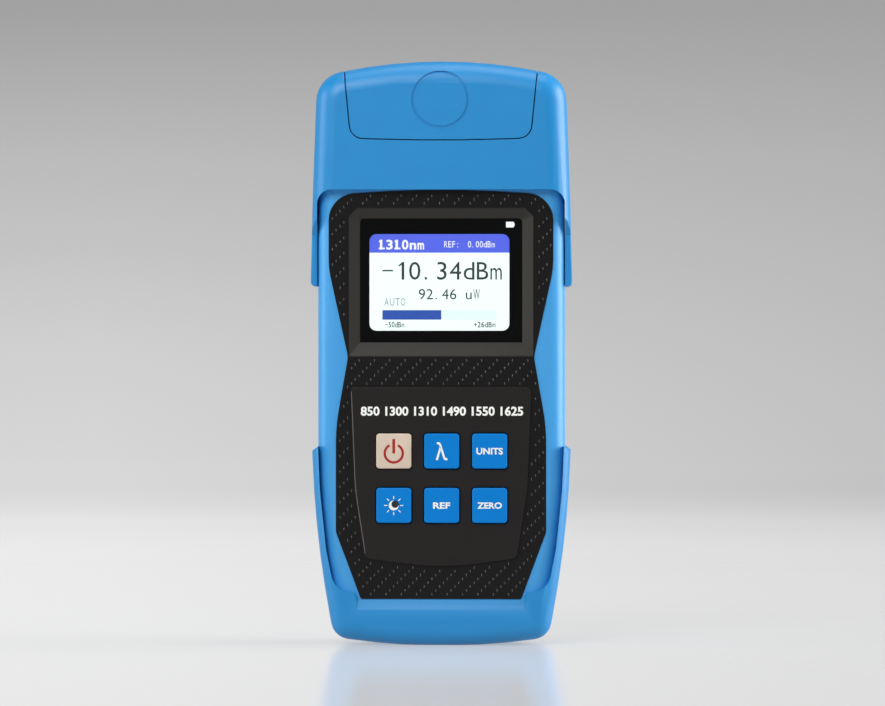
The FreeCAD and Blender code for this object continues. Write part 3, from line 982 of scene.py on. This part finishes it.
# ------------------------------------------------------------------ sub-assemblies
@dataclass
class Housing:
    """Case halves, end guards, cover and battery door; sizes in mm.

    Attributes:
        lip: Round of the guard's lips over the case.
        leg_round: Round of the guard's legs.
        boot_round: Round of the boot's front and rear edges.
        chin_round: Round of the chin's corners.
        edge: Round of the crown and the cover.
        face_round: Round of the case's faces.
        seam: Round of the joint between the case halves.
        ring_radii: Inner and outer radius of the plain ring in the cover.
        ring_deep: How deep the ring is sunk.
        ring_below_top: From the cover's top to the ring's middle.
        ring_reach: How far back the ring's cutter goes.
    """

    lip: float = 1.5
    leg_round: float = 0.6
    boot_round: float = 0.5
    chin_round: float = 0.9
    edge: float = 0.35
    face_round: float = 0.25
    seam: float = 0.15
    ring_radii: Span = (8.2, 9.1)
    ring_deep: float = 0.3
    ring_below_top: float = 12.3
    ring_reach: float = 2.7

    def build(self) -> None:
        """Dress every moulded part of the outside."""
        seams = Rim((-50, -0.05, 0), (-36, 0.05, 160), self.seam).pair()
        guard = (
            Rim((-38.9, -19.1, 137.5), (38.9, -15.9, 142.7), self.lip, 4),
            Rim((-38.9, 15.9, 137.5), (38.9, 19.1, 142.7), self.lip, 4),
            Rim((-32, -19.1, 155), (32, 9.0, 183.1), self.edge),
            *Rim((38.0, -13.2, 112.0), (42, 13.2, 137.0), self.leg_round, 3).pair(),
        )
        boot = (
            *Rim((26.0, -17.7, 11.0), (26.4, -15.7, 16.6), self.chin_round, 1).pair(),
            Rim((-42, -17.7, 8.0), (42, -12.0, 62.5), self.boot_round, 3),
            Rim((-42, 12.0, 8.0), (42, 19.1, 62.5), self.boot_round, 3),
        )
        front, rear = face_rim(-15.8, 145, self.face_round), face_rim(17.2, 145, self.face_round)
        smooth_copy("upper_guard", GUARD_BLUE, rims=guard)
        smooth_copy("lower_guard", GUARD_BLUE, rims=boot)
        smooth_copy("front_shell", CASE_BLUE_PAINTED_PALER, rims=(*seams, front))
        smooth_copy("rear_shell", CASE_BLUE_PAINTED_PALER, rims=(*seams, rear))
        smooth_copy("port_cover", GUARD_BLUE, "port_cover",
                    rims=(Rim((-50, -30, -5), (50, 30, 190), self.edge),), cutter=self.ring())
        smooth_copy("battery_door", CASE_BLUE_PAINTED_PALER, "battery_door", rims=(rear,))

    def ring(self) -> bmesh.types.BMesh:
        """Make the cutter for the plain ring sunk into the cover; its floor follows the cover's face.

        Returns:
            The cutter.
        """
        low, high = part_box("port_cover")
        centre = Vector((0.0, low.y - 1.0 * MM, high.z - self.ring_below_top * MM))
        inner, outer = self.ring_radii
        prism = sector(centre, (inner * MM, outer * MM), self.ring_reach * MM, 72)
        below = merged("port_cover")
        bmesh.ops.translate(below, vec=Vector((0, self.ring_deep, -self.ring_deep)) * MM, verts=below.verts)
        return carved(prism, below)


@dataclass
class Fascia:
    """Black panel with its woven relief, keypad plate and printed line.

    Attributes:
        crisp_deg: Edges that turn by more than this stay crisp.
        dash: Width, height above the panel and length of a dash.
        pitch: From dash to dash along a row, and from row to row.
        cycle: Rows after which the weave repeats.
        margin: Half of the room, across and up, that a dash has to have.
        flat: How far the panel may fall back under that room.
        rays_from: Where rays at the panel start, in front of the meter.
        line: Width of the pale strip at the plate's left edge, a painted highlight.
        line_in: How far the line is moved in from the plate's edge.
        line_deep: Thickness of the line.
        line_reach: How far to the right the line may go.
        line_ends: From the bottom of the meter, and from the plate's top, to the line's ends.
        words: Left and right edges of the printed line.
        words_down: From the plate's top to the top of the print.
        words_tall: Height of the print.
        words_weight: Its extra stroke weight.
        panel: What rays are cast at for the panel.
        plate: What rays are cast at for the keypad plate.
    """

    crisp_deg: float = 25.0
    dash: Corner = (0.42 * MM, 0.07 * MM, 0.9 * MM)
    pitch: Span = (4.8 * MM, 1.2 * MM)
    cycle: int = 4
    margin: Span = (0.8 * MM, 0.9 * MM)
    flat: float = 0.02 * MM
    rays_from: float = -100 * MM
    line: float = 0.2 * MM
    line_in: float = 0.25 * MM
    line_deep: float = 0.02 * MM
    line_reach: float = 5 * MM
    line_ends: Span = (30 * MM, 1.5 * MM)
    words: Span = (-25.1 * MM, 25.8 * MM)
    words_down: float = 6.0 * MM
    words_tall: float = 3.0 * MM
    words_weight: float = 0.03
    panel: BVHTree = field(init=False)
    plate: BVHTree = field(init=False)

    def build(self) -> None:
        """Dress the panel and the plate."""
        well_foot = Rim((-31, -15.95, 88), (31, -12.0, 96), 1.4, 4, hollow=True)
        smooth_copy("front_panel", PANEL_BLACK, sharp_deg=self.crisp_deg,
                    rims=(face_rim(-16.1, 150, 0.25), well_foot))
        self.paint_edge_glint()
        smooth_copy("keypad_plate", PLATE_BLACK, sharp_deg=self.crisp_deg,
                    rims=(face_rim(-16.8, 150, 0.18),))
        self.dashes()
        self.printed_line()

    def paint_edge_glint(self) -> None:
        """Lay a pale strip along the plate's left edge: a painted highlight where the edge catches the light.
        """
        low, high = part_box("keypad_plate")
        mesh = merged("keypad_plate")
        front = [face for face in mesh.faces if face.normal.y < FACING_OUT]
        rim = bmesh.ops.inset_region(mesh, faces=front, thickness=self.line, use_even_offset=True)["faces"]
        kept = {f for f in rim if f.calc_center_median().x < low.x + self.line_reach
                and self.line_ends[0] < f.calc_center_median().z < high.z - self.line_ends[1]}
        bmesh.ops.delete(mesh, geom=[f for f in mesh.faces if f not in kept], context="FACES")
        bmesh.ops.translate(mesh, vec=(self.line_in, -PRINT, 0), verts=mesh.verts)
        bmesh.ops.solidify(mesh, geom=mesh.faces[:], thickness=self.line_deep)
        bmesh.ops.recalc_face_normals(mesh, faces=mesh.faces)
        new_piece("plate_edge_line", mesh, PLATE_EDGE_GLINT)

    def _on_panel(self, x: float, z: float, face_y: float) -> bool:
        """Say whether a dash at this place lies on the open face of the panel.

        Args:
            x: Place across.
            z: Place up.
            face_y: The panel's face.

        Returns:
            True if all of it does.
        """
        back = Vector((0, 1, 0))
        for dx, dz in ((-1, -1), (1, -1), (1, 1), (-1, 1)):
            start = Vector((x + dx * self.margin[0], self.rays_from, z + dz * self.margin[1]))
            point = self.panel.ray_cast(start, back)[0]
            if point is None or abs(point.y - face_y) > self.flat:
                return False
            if self.plate.ray_cast(start, back)[0] is not None:
                return False
        return True

    def dashes(self) -> None:
        """Lay the raised dashes of the weave over the panel."""
        low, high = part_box("front_panel")
        self.panel, self.plate = search_tree("front_panel"), search_tree("keypad_plate")
        wide, proud, tall = self.dash
        mesh = bmesh.new()
        for row in range(int((high.z - low.z) / self.pitch[1])):
            z = high.z - (row + 0.5) * self.pitch[1]
            shift = -(row % self.cycle) * self.pitch[0] / self.cycle
            for column in range(int((high.x - low.x) / self.pitch[0]) + 2):
                x = low.x + column * self.pitch[0] + shift
                if self._on_panel(x, z, low.y):
                    made = bmesh.ops.create_uvsphere(mesh, u_segments=8, v_segments=5, radius=0.5)["verts"]
                    bmesh.ops.scale(mesh, vec=(wide, 2 * proud, tall), verts=made)
                    bmesh.ops.translate(mesh, vec=(x, low.y, z), verts=made)
        for face in mesh.faces:
            face.smooth = True
        new_piece("panel_dashes", mesh, DASH_GLINT)

    def printed_line(self) -> None:
        """Print a plain row of wavelengths above the keys."""
        low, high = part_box("keypad_plate")
        top = high.z - self.words_down
        mesh = lettering("850 1300 1310 1490 1550 1625", self.words, (top - self.words_tall, top),
                         low.y - PRINT, self.words_weight)
        new_piece("printed_wavelengths", mesh, INK_WHITE)


@dataclass
class Display:
    """Display panel, its lit picture and the window over it.

    Attributes:
        corner: Corner radius of the picture.
        step: Depth of a layer of the picture.
        aside: How far the picture's middle lies to the right of the panel's.
        raised: How far it lies above the panel's.
        type_layer: Layer on which type stands.
        front: Front of the panel.
        middle_x: The picture's middle, across.
        middle_z: The picture's middle, up.
    """

    corner: float = 2.2 * MM
    step: float = 0.02 * MM
    aside: float = -0.55 * MM
    raised: float = -0.1 * MM
    type_layer: int = 4
    front: float = field(init=False)
    middle_x: float = field(init=False)
    middle_z: float = field(init=False)

    def build(self) -> None:
        """Dress the screen."""
        low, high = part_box("lcd_panel")
        self.front = low.y
        self.middle_x = (low.x + high.x) / 2 + self.aside
        self.middle_z = (low.z + high.z) / 2 + self.raised
        dress("lcd_panel", SCREEN_BLACK)
        dress("backlight", LIGHT_GUIDE)
        dress("display_window", ClearWindow("clear_acrylic"))
        self.picture()

    def _spans(self, x: Span, z: Span) -> tuple[Span, Span]:
        """Turn two spans in mm from the picture's middle into the meter's frame."""
        return tuple(self.middle_x + end * MM for end in x), tuple(self.middle_z + end * MM for end in z)

    def _strip(self, name: str, light: Glow, x: Span, z: Span, layer: int, radius: float = 0.0,
               cut_above: float | None = None) -> None:
        """Add one lit strip of the picture.

        Args:
            name: Name of the piece.
            light: Its glow.
            x: Left and right edges, in mm from the picture's middle.
            z: Lower and upper edges, in mm from the picture's middle.
            layer: How many steps in front of the panel it lies.
            radius: Corner radius.
            cut_above: Height above which it is cut off, in mm from the picture's middle.
        """
        mesh = plaque(*self._spans(x, z), self.front - layer * self.step, self.step, radius)
        if cut_above is not None:
            cut = bmesh.ops.bisect_plane(mesh, geom=mesh.verts[:] + mesh.edges[:] + mesh.faces[:],
                                         plane_co=(0, 0, self.middle_z + cut_above * MM),
                                         plane_no=(0, 0, 1), clear_outer=True)["geom_cut"]
            rim = [part for part in cut if isinstance(part, bmesh.types.BMEdge)]
            bmesh.ops.holes_fill(mesh, edges=rim, sides=0)
            bmesh.ops.recalc_face_normals(mesh, faces=mesh.faces)
        new_piece(name, mesh, light)

    def _type(self, name: str, text: str, light: Glow, x: Span, z: Span, weight: float = 0.0) -> None:
        """Add one line of type to the picture.

        Args:
            name: Name of the piece.
            text: What it says.
            light: Its glow.
            x: Left and right edges, in mm from the picture's middle.
            z: Lower and upper edges, in mm from the picture's middle.
            weight: Extra stroke weight.
        """
        front = self.front - self.type_layer * self.step
        new_piece(name, lettering(text, *self._spans(x, z), front, weight, in_cells=True), light)

    def picture(self) -> None:
        """Draw a reading: header, two values, bar and scale ends, all in mm from the picture's middle."""
        self._strip("screen_header", LIT_HEADER, (-21.94, 21.94), (-15.4, 14.65), 1, self.corner)
        self._strip("screen_body", LIT_BODY, (-21.94, 21.94), (-15.65, 14.65), 2, self.corner, 8.8)
        self._strip("screen_bar", LIT_BAR, (-17.9, 0.6), (-12.2, -9.2), 3)
        self._strip("screen_track", LIT_TRACK, (0.6, 18.0), (-12.2, -9.2), 3)
        self._type("screen_wavelength", "1310nm", LIT_WHITE, (-19.1, -4.8), (9.75, 12.95), 0.03)
        self._type("screen_reference", "REF:  0.00dBm", LIT_WHITE, (1.5, 17.4), (10.45, 12.45), 0.004)
        self._type("screen_reading", "-10.34dBm", LIT_INK, (-17.9, 19.6), (0.3, 5.95))
        self._type("screen_power", "92.46 uW", LIT_INK, (-6.5, 12.7), (-5.85, -2.55))
        self._type("screen_auto", "AUTO", LIT_INK_GREY, (-17.3, -10.7), (-7.85, -5.35), 0.01)
        self._type("screen_low_end", "-50dBm", LIT_INK, (-17.0, -11.0), (-14.65, -12.85), 0.012)
        self._type("screen_high_end", "+26dBm", LIT_INK, (10.8, 17.6), (-14.65, -12.85), 0.012)
        self._strip("battery_mark", LIT_WHITE, (20.9, 23.35), (16.72, 18.5), 1, 0.15 * MM)
        self._strip("battery_mark_tip", LIT_WHITE, (23.35, 23.6), (17.2, 18.0), 1)


@dataclass
class Keypad:
    """Six keys with their printed legends.

    Attributes:
        crisp_deg: Edges that turn by more than this stay crisp.
        ring: Inner and outer radius of the standby mark's ring.
        ring_arc_deg: Where the ring starts, and how far it goes.
        ring_drop: From the key's middle down to the ring's.
        bar: Half width and height of the standby mark's bar.
        rays: How many rays the sun has.
        ray: Half width of a ray.
        ray_span: From the sun's middle to a ray's ends.
        sun: Radius of the sun's disc.
        moon: Radius of the shade on it.
        moon_off: How far the shade lies up and to the right.
        round_steps: Steps of the discs.
    """

    crisp_deg: float = 50.0
    ring: Span = (2.45 * MM, 3.2 * MM)
    ring_arc_deg: Span = (118, 304)
    ring_drop: float = 0.7 * MM
    bar: Span = (0.43 * MM, 4.5 * MM)
    rays: int = 8
    ray: float = 0.14 * MM
    ray_span: Span = (2.05 * MM, 3.0 * MM)
    sun: float = 1.55 * MM
    moon: float = 1.15 * MM
    moon_off: float = 0.42 * MM
    round_steps: int = 32

    def build(self) -> None:
        """Dress the keys and print their legends."""
        for name in KEY_NAMES:
            look, slot = (KEY_CREAM, "key_cream") if name == "power" else (KEY_BLUE, "key_blue")
            smooth_copy(f"key_{name}", look, f"key_{name}", self.crisp_deg)
        self._word("units", "UNITS", 4.15, 1.05)
        self._word("reference", "REF", 2.7, 1.0)
        self._word("zero", "ZERO", 3.85, 1.0)
        self._word("wavelength", "λ", 1.85, 2.85, 0.008)
        self._power_mark()
        self._sun_and_moon()

    def _face(self, key: str) -> Vector:
        """Find the middle of a key's face.

        Args:
            key: Name of the key.

        Returns:
            The point, a print's thickness in front of the face.
        """
        low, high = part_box(f"key_{key}")
        return Vector(((low.x + high.x) / 2, low.y - PRINT, (low.z + high.z) / 2))

    def _word(self, key: str, text: str, half_wide: float, half_tall: float, weight: float = 0.03) -> None:
        """Print a word in the middle of a key.

        Args:
            key: Name of the key.
            text: What it says.
            half_wide: Half its width, in mm.
            half_tall: Half its height, in mm.
            weight: Extra stroke weight.
        """
        at = self._face(key)
        mesh = lettering(text, around(at.x, half_wide * MM), around(at.z, half_tall * MM), at.y, weight)
        new_piece(f"legend_{key}", mesh, INK_WHITE, f"key_{key}")

    def _power_mark(self) -> None:
        """Print the standby mark: an open ring with a bar."""
        at = self._face("power") - Vector((0, 0, self.ring_drop))
        ring = sector(at, self.ring, PRINT, 40, *self.ring_arc_deg)
        bar = plaque(around(at.x, self.bar[0]), (at.z, at.z + self.bar[1]), at.y, PRINT)
        new_piece("legend_power", join([ring, bar]), INK_RED, "key_power")

    def _sun_and_moon(self) -> None:
        """Print a half-lit disc with rays round it."""
        at = self._face("light")
        parts = []
        for index in range(self.rays):
            ray = plaque(around(0.0, self.ray), self.ray_span, 0.0, PRINT)
            turn = Matrix.Rotation(index * math.tau / self.rays, 3, "Y")
            bmesh.ops.rotate(ray, matrix=turn, verts=ray.verts)
            bmesh.ops.translate(ray, vec=at, verts=ray.verts)
            parts.append(ray)
        parts.append(sector(at, (0.0, self.sun), PRINT, self.round_steps))
        new_piece("legend_light", join(parts), INK_WHITE, "key_light")
        middle = at + Vector((self.moon_off, -PRINT, self.moon_off))
        shade = sector(middle, (0.0, self.moon), PRINT, self.round_steps)
        new_piece("legend_light_shade", shade, INK_DARK, "key_light")


@dataclass
class Fasteners:
    """Cross-recess screws sunk in the rear face, the port's thread and the cell springs; sizes in mm.

    Attributes:
        screw_x: From the middle of the meter to a screw.
        screw_z: Heights of the lower and upper screws.
        seat_y: Where their heads sit.
        head: Radius and height along a head's outline, from its seat to its top.
        slot_long: Length of a slot of the cross.
        slot_wide: Width of a slot.
        slot_at: Height of the middle of what cuts the cross.
        slot_tall: Its height.
        thread: Radius and height of the corners of a thread's turn.
        thread_turns: Turns of the thread.
        thread_pitch: Rise of each.
        thread_down: From the barrel's top to the thread's start.
        wire: Radius of the springs' wire.
        coil: Radius of the springs' coils.
        coil_turns: Turns of each spring.
        coil_steps: Steps in a turn.
        coil_from: From a contact or cell to the first turn.
        coil_ends: Room that the ends of a spring take up.
    """

    screw_x: float = 27.4
    screw_z: Span = (24.0, 138.5)
    seat_y: float = 14.25
    head: tuple[Span, ...] = (
        (0, 0), (2.3, 0), (2.35, 0.3), (2.15, 0.75), (1.6, 1.05), (0.9, 1.2), (0, 1.25))
    slot_long: float = 2.7
    slot_wide: float = 0.6
    slot_at: float = 1.05
    slot_tall: float = 1.0
    thread: tuple[Span, ...] = ((3.9, 0.0), (4.0, 0.05), (4.35, 0.35), (4.0, 0.65), (3.9, 0.7))
    thread_turns: int = 8
    thread_pitch: float = 0.75
    thread_down: float = 7.2
    wire: float = 0.4
    coil: float = 3.2
    coil_turns: int = 2
    coil_steps: int = 16
    coil_from: float = 0.85
    coil_ends: float = 1.7

    def build(self) -> None:
        """Make every screw, the thread and the springs."""
        facing_back = Matrix.Rotation(-math.pi / 2, 4, "X")
        for side, x in (("left", -self.screw_x), ("right", self.screw_x)):
            for end, z in zip(("lower", "upper"), self.screw_z):
                place = Matrix.Translation(Vector((x, self.seat_y, z)) * MM) @ facing_back
                new_piece(f"case_screw_{end}_{side}", self.screw(place), STEEL)
        self.port_thread()
        self.springs()

    def screw(self, place: Matrix) -> bmesh.types.BMesh:
        """Turn one pan head and cut its cross.

        Args:
            place: Where its axis stands.

        Returns:
            The head.
        """
        head = swept(self.head, Matrix.Identity(4))
        for wide, long in ((self.slot_wide, self.slot_long), (self.slot_long, self.slot_wide)):
            arm = bmesh.new()
            add_block(arm, Vector((wide, long, self.slot_tall)) * MM, (0, 0, self.slot_at * MM))
            head = carved(head, arm)
        bmesh.ops.transform(head, matrix=place, verts=head.verts)
        return head

    def port_thread(self) -> None:
        """Cut the thread of the optical port's barrel."""
        low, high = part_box("optical_adapter")
        middle = (low + high) / 2
        place = Matrix.Translation((middle.x, middle.y, high.z - self.thread_down * MM))
        thread = swept(self.thread, place, self.thread_turns, self.thread_pitch)
        new_piece("adapter_thread", thread, NICKEL)

    def springs(self) -> None:
        """Wind a spring round each negative contact."""
        angles = (math.tau * share / 8 for share in range(8))
        section = tuple((self.coil + self.wire * math.cos(a), self.wire * math.sin(a)) for a in angles)
        for index in CELLS:
            low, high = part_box(f"cell_{index}_minus")
            cell_low, cell_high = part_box(f"cell_{index}")
            middle = (low + high) / 2
            below = 2 * middle.z < cell_low.z + cell_high.z
            start, end = (low.z, cell_low.z) if below else (cell_high.z, high.z)
            place = Matrix.Translation((middle.x, middle.y, start + self.coil_from * MM))
            pitch = ((end - start) / MM - self.coil_ends) / self.coil_turns
            coil = swept(section, place, self.coil_turns, pitch, self.coil_steps)
            new_piece(f"cell_{index}_spring", coil, STEEL)


@dataclass
class Innards:
    """What the cover and the battery door hide.

    Attributes:
        looks: Look of each solid that is shown as it is.
    """

    looks: dict[str, Look] = field(default_factory=lambda: {
        "main_board": BOARD_GREEN, "battery_tray": BAY_BLACK, "port_plate": BAY_BLACK, "cover_pin": STEEL,
        "adapter_nut": NICKEL, "detector": NICKEL, "usb_socket": STEEL,
        **{f"switch_{name}": SWITCH_BLACK for name in KEY_NAMES},
        **{f"cell_{index}_{end}": STEEL for index in CELLS for end in ("plus", "minus")},
    })

    def build(self) -> None:
        """Dress the inner parts."""
        for node, look in self.looks.items():
            dress(node, look)
        smooth_copy("optical_adapter", NICKEL)
        smooth_copy("adapter_sleeve", CERAMIC)
        for index in CELLS:
            smooth_copy(f"cell_{index}", CELL_WRAP)


# ------------------------------------------------------------------ studio
@dataclass
class Studio:
    """Pale cyclorama, soft lights and the camera.

    Attributes:
        image_wide: Width of the image.
        scale_per_mm: Image width units to a millimetre of the meter's front.
        distance: From the camera to the front.
        turn_deg: How far the camera stands to the right.
        aside: How far the view is moved to the right.
        sensor: Width of the camera's sensor, in mm.
        floor_half: Half the floor's width and depth.
        floor_back: Where the floor starts to curve up.
        curve: Radius of that curve.
        curve_steps: Its steps.
        wall_tall: Height of the wall above the curve.
        lamps: Name, place, side and power of each softbox.
        aim: What the softboxes are aimed at.
        room_tint: Colour of the room's fill.
        room_fill: Strength of the room's fill.
    """

    image_wide: int = 885
    scale_per_mm: float = 3.2
    distance: float = 1.6
    turn_deg: float = 1.7
    aside: float = 0.6 * MM
    sensor: float = 36.0
    floor_half: Span = (2.5, 1.5)
    floor_back: float = 1.1
    curve: float = 0.16
    curve_steps: int = 24
    wall_tall: float = 1.8
    lamps: tuple[tuple[str, Corner, float, float], ...] = (
        ("key_light", (-0.5, -1.15, 0.95), 0.8, 15.0), ("side_light", (1.2, 0.1, 0.4), 1.0, 24.0),
        ("fill_light", (-1.3, -0.2, 0.35), 0.8, 7.0), ("top_light", (0.1, 0.0, 1.2), 0.7, 4.5))
    aim: Corner = (0.0, 0.0, 0.09)
    room_tint: Colour = (0.95, 0.97, 1.0)
    room_fill: float = 0.14

    def build(self) -> None:
        """Set up everything that isn't part of the meter."""
        self.cyclorama()
        for name, at, side, watts in self.lamps:
            self._softbox(name, Vector(at), side, watts)
        self.room()
        self.camera()

    def cyclorama(self) -> None:
        """Sweep the floor up into the wall behind the meter."""
        mesh = bmesh.new()
        bmesh.ops.create_grid(mesh, x_segments=1, y_segments=1, size=1.0)
        bmesh.ops.scale(mesh, vec=(*self.floor_half, 1.0), verts=mesh.verts)
        bmesh.ops.translate(mesh, vec=(0, self.floor_back - self.floor_half[1], 0), verts=mesh.verts)
        back = [edge for edge in mesh.edges if all(v.co.y > 0 for v in edge.verts)]
        swung = bmesh.ops.spin(mesh, geom=back + list(back[0].verts), cent=(0, self.floor_back, self.curve),
                               axis=(1, 0, 0), angle=math.radians(90), steps=self.curve_steps,
                               use_duplicate=False)
        last = [g for g in swung["geom_last"] if isinstance(g, bmesh.types.BMEdge)]
        raised = bmesh.ops.extrude_edge_only(mesh, edges=last)["geom"]
        bmesh.ops.translate(mesh, vec=(0, 0, self.wall_tall),
                            verts=[g for g in raised if isinstance(g, bmesh.types.BMVert)])
        bmesh.ops.recalc_face_normals(mesh, faces=mesh.faces)
        if max(mesh.faces, key=lambda f: f.calc_area()).normal.z < 0:
            bmesh.ops.reverse_faces(mesh, faces=mesh.faces)
        for face in mesh.faces:
            face.smooth = True
        sweep = as_object("cyclorama", mesh)
        sweep.data.materials.append(Paper("backdrop_paper_painted_light").material())

    def _softbox(self, name: str, at: Vector, side: float, watts: float) -> None:
        """Hang a square softbox aimed at the meter.

        Args:
            name: Name of the light.
            at: Where it hangs.
            side: Length of its side.
            watts: Its power.
        """
        lamp = bpy.data.lights.new(name, "AREA")
        lamp.size = side
        lamp.energy = watts
        holder = bpy.data.objects.new(name, lamp)
        bpy.context.scene.collection.objects.link(holder)
        holder.location = at
        holder.rotation_euler = (Vector(self.aim) - at).to_track_quat("-Z", "Y").to_euler()

    def room(self) -> None:
        """Set the room's fill and how colours are shown."""
        world = bpy.data.worlds.new("studio")
        world.use_nodes = True
        fill = world.node_tree.nodes["Background"]
        fill.inputs["Color"].default_value = (*self.room_tint, 1)
        fill.inputs["Strength"].default_value = self.room_fill
        bpy.context.scene.world = world
        bpy.context.scene.view_settings.view_transform = "Standard"

    def camera(self) -> None:
        """Stand the camera level with the middle of the meter."""
        low, high = SOLID_BOX
        lens = bpy.data.cameras.new("camera")
        lens.sensor_width = self.sensor
        lens.lens = self.sensor * self.distance / (self.image_wide / self.scale_per_mm * MM)
        lens.clip_end = 20.0
        eye = bpy.data.objects.new("camera", lens)
        bpy.context.scene.collection.objects.link(eye)
        turn = math.radians(self.turn_deg)
        away = Vector((math.sin(turn), -math.cos(turn), 0.0))
        eye.location = Vector((self.aside, low.y, (low.z + high.z) / 2)) + away * self.distance
        eye.rotation_euler = (-away).to_track_quat("-Z", "Y").to_euler()
        bpy.context.scene.camera = eye


def main() -> None:
    """Build every sub-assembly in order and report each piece."""
    logging.basicConfig(level=logging.INFO, format="%(message)s")
    reported = set(bpy.data.objects.keys())
    for assembly in (Housing(), Fascia(), Display(), Keypad(), Fasteners(), Innards(), Studio()):
        assembly.build()
        for name in bpy.data.objects.keys():
            if name not in reported:
                LOG.info("%s: %s", type(assembly).__name__, name)
                reported.add(name)


if __name__ == "__main__":
    main()
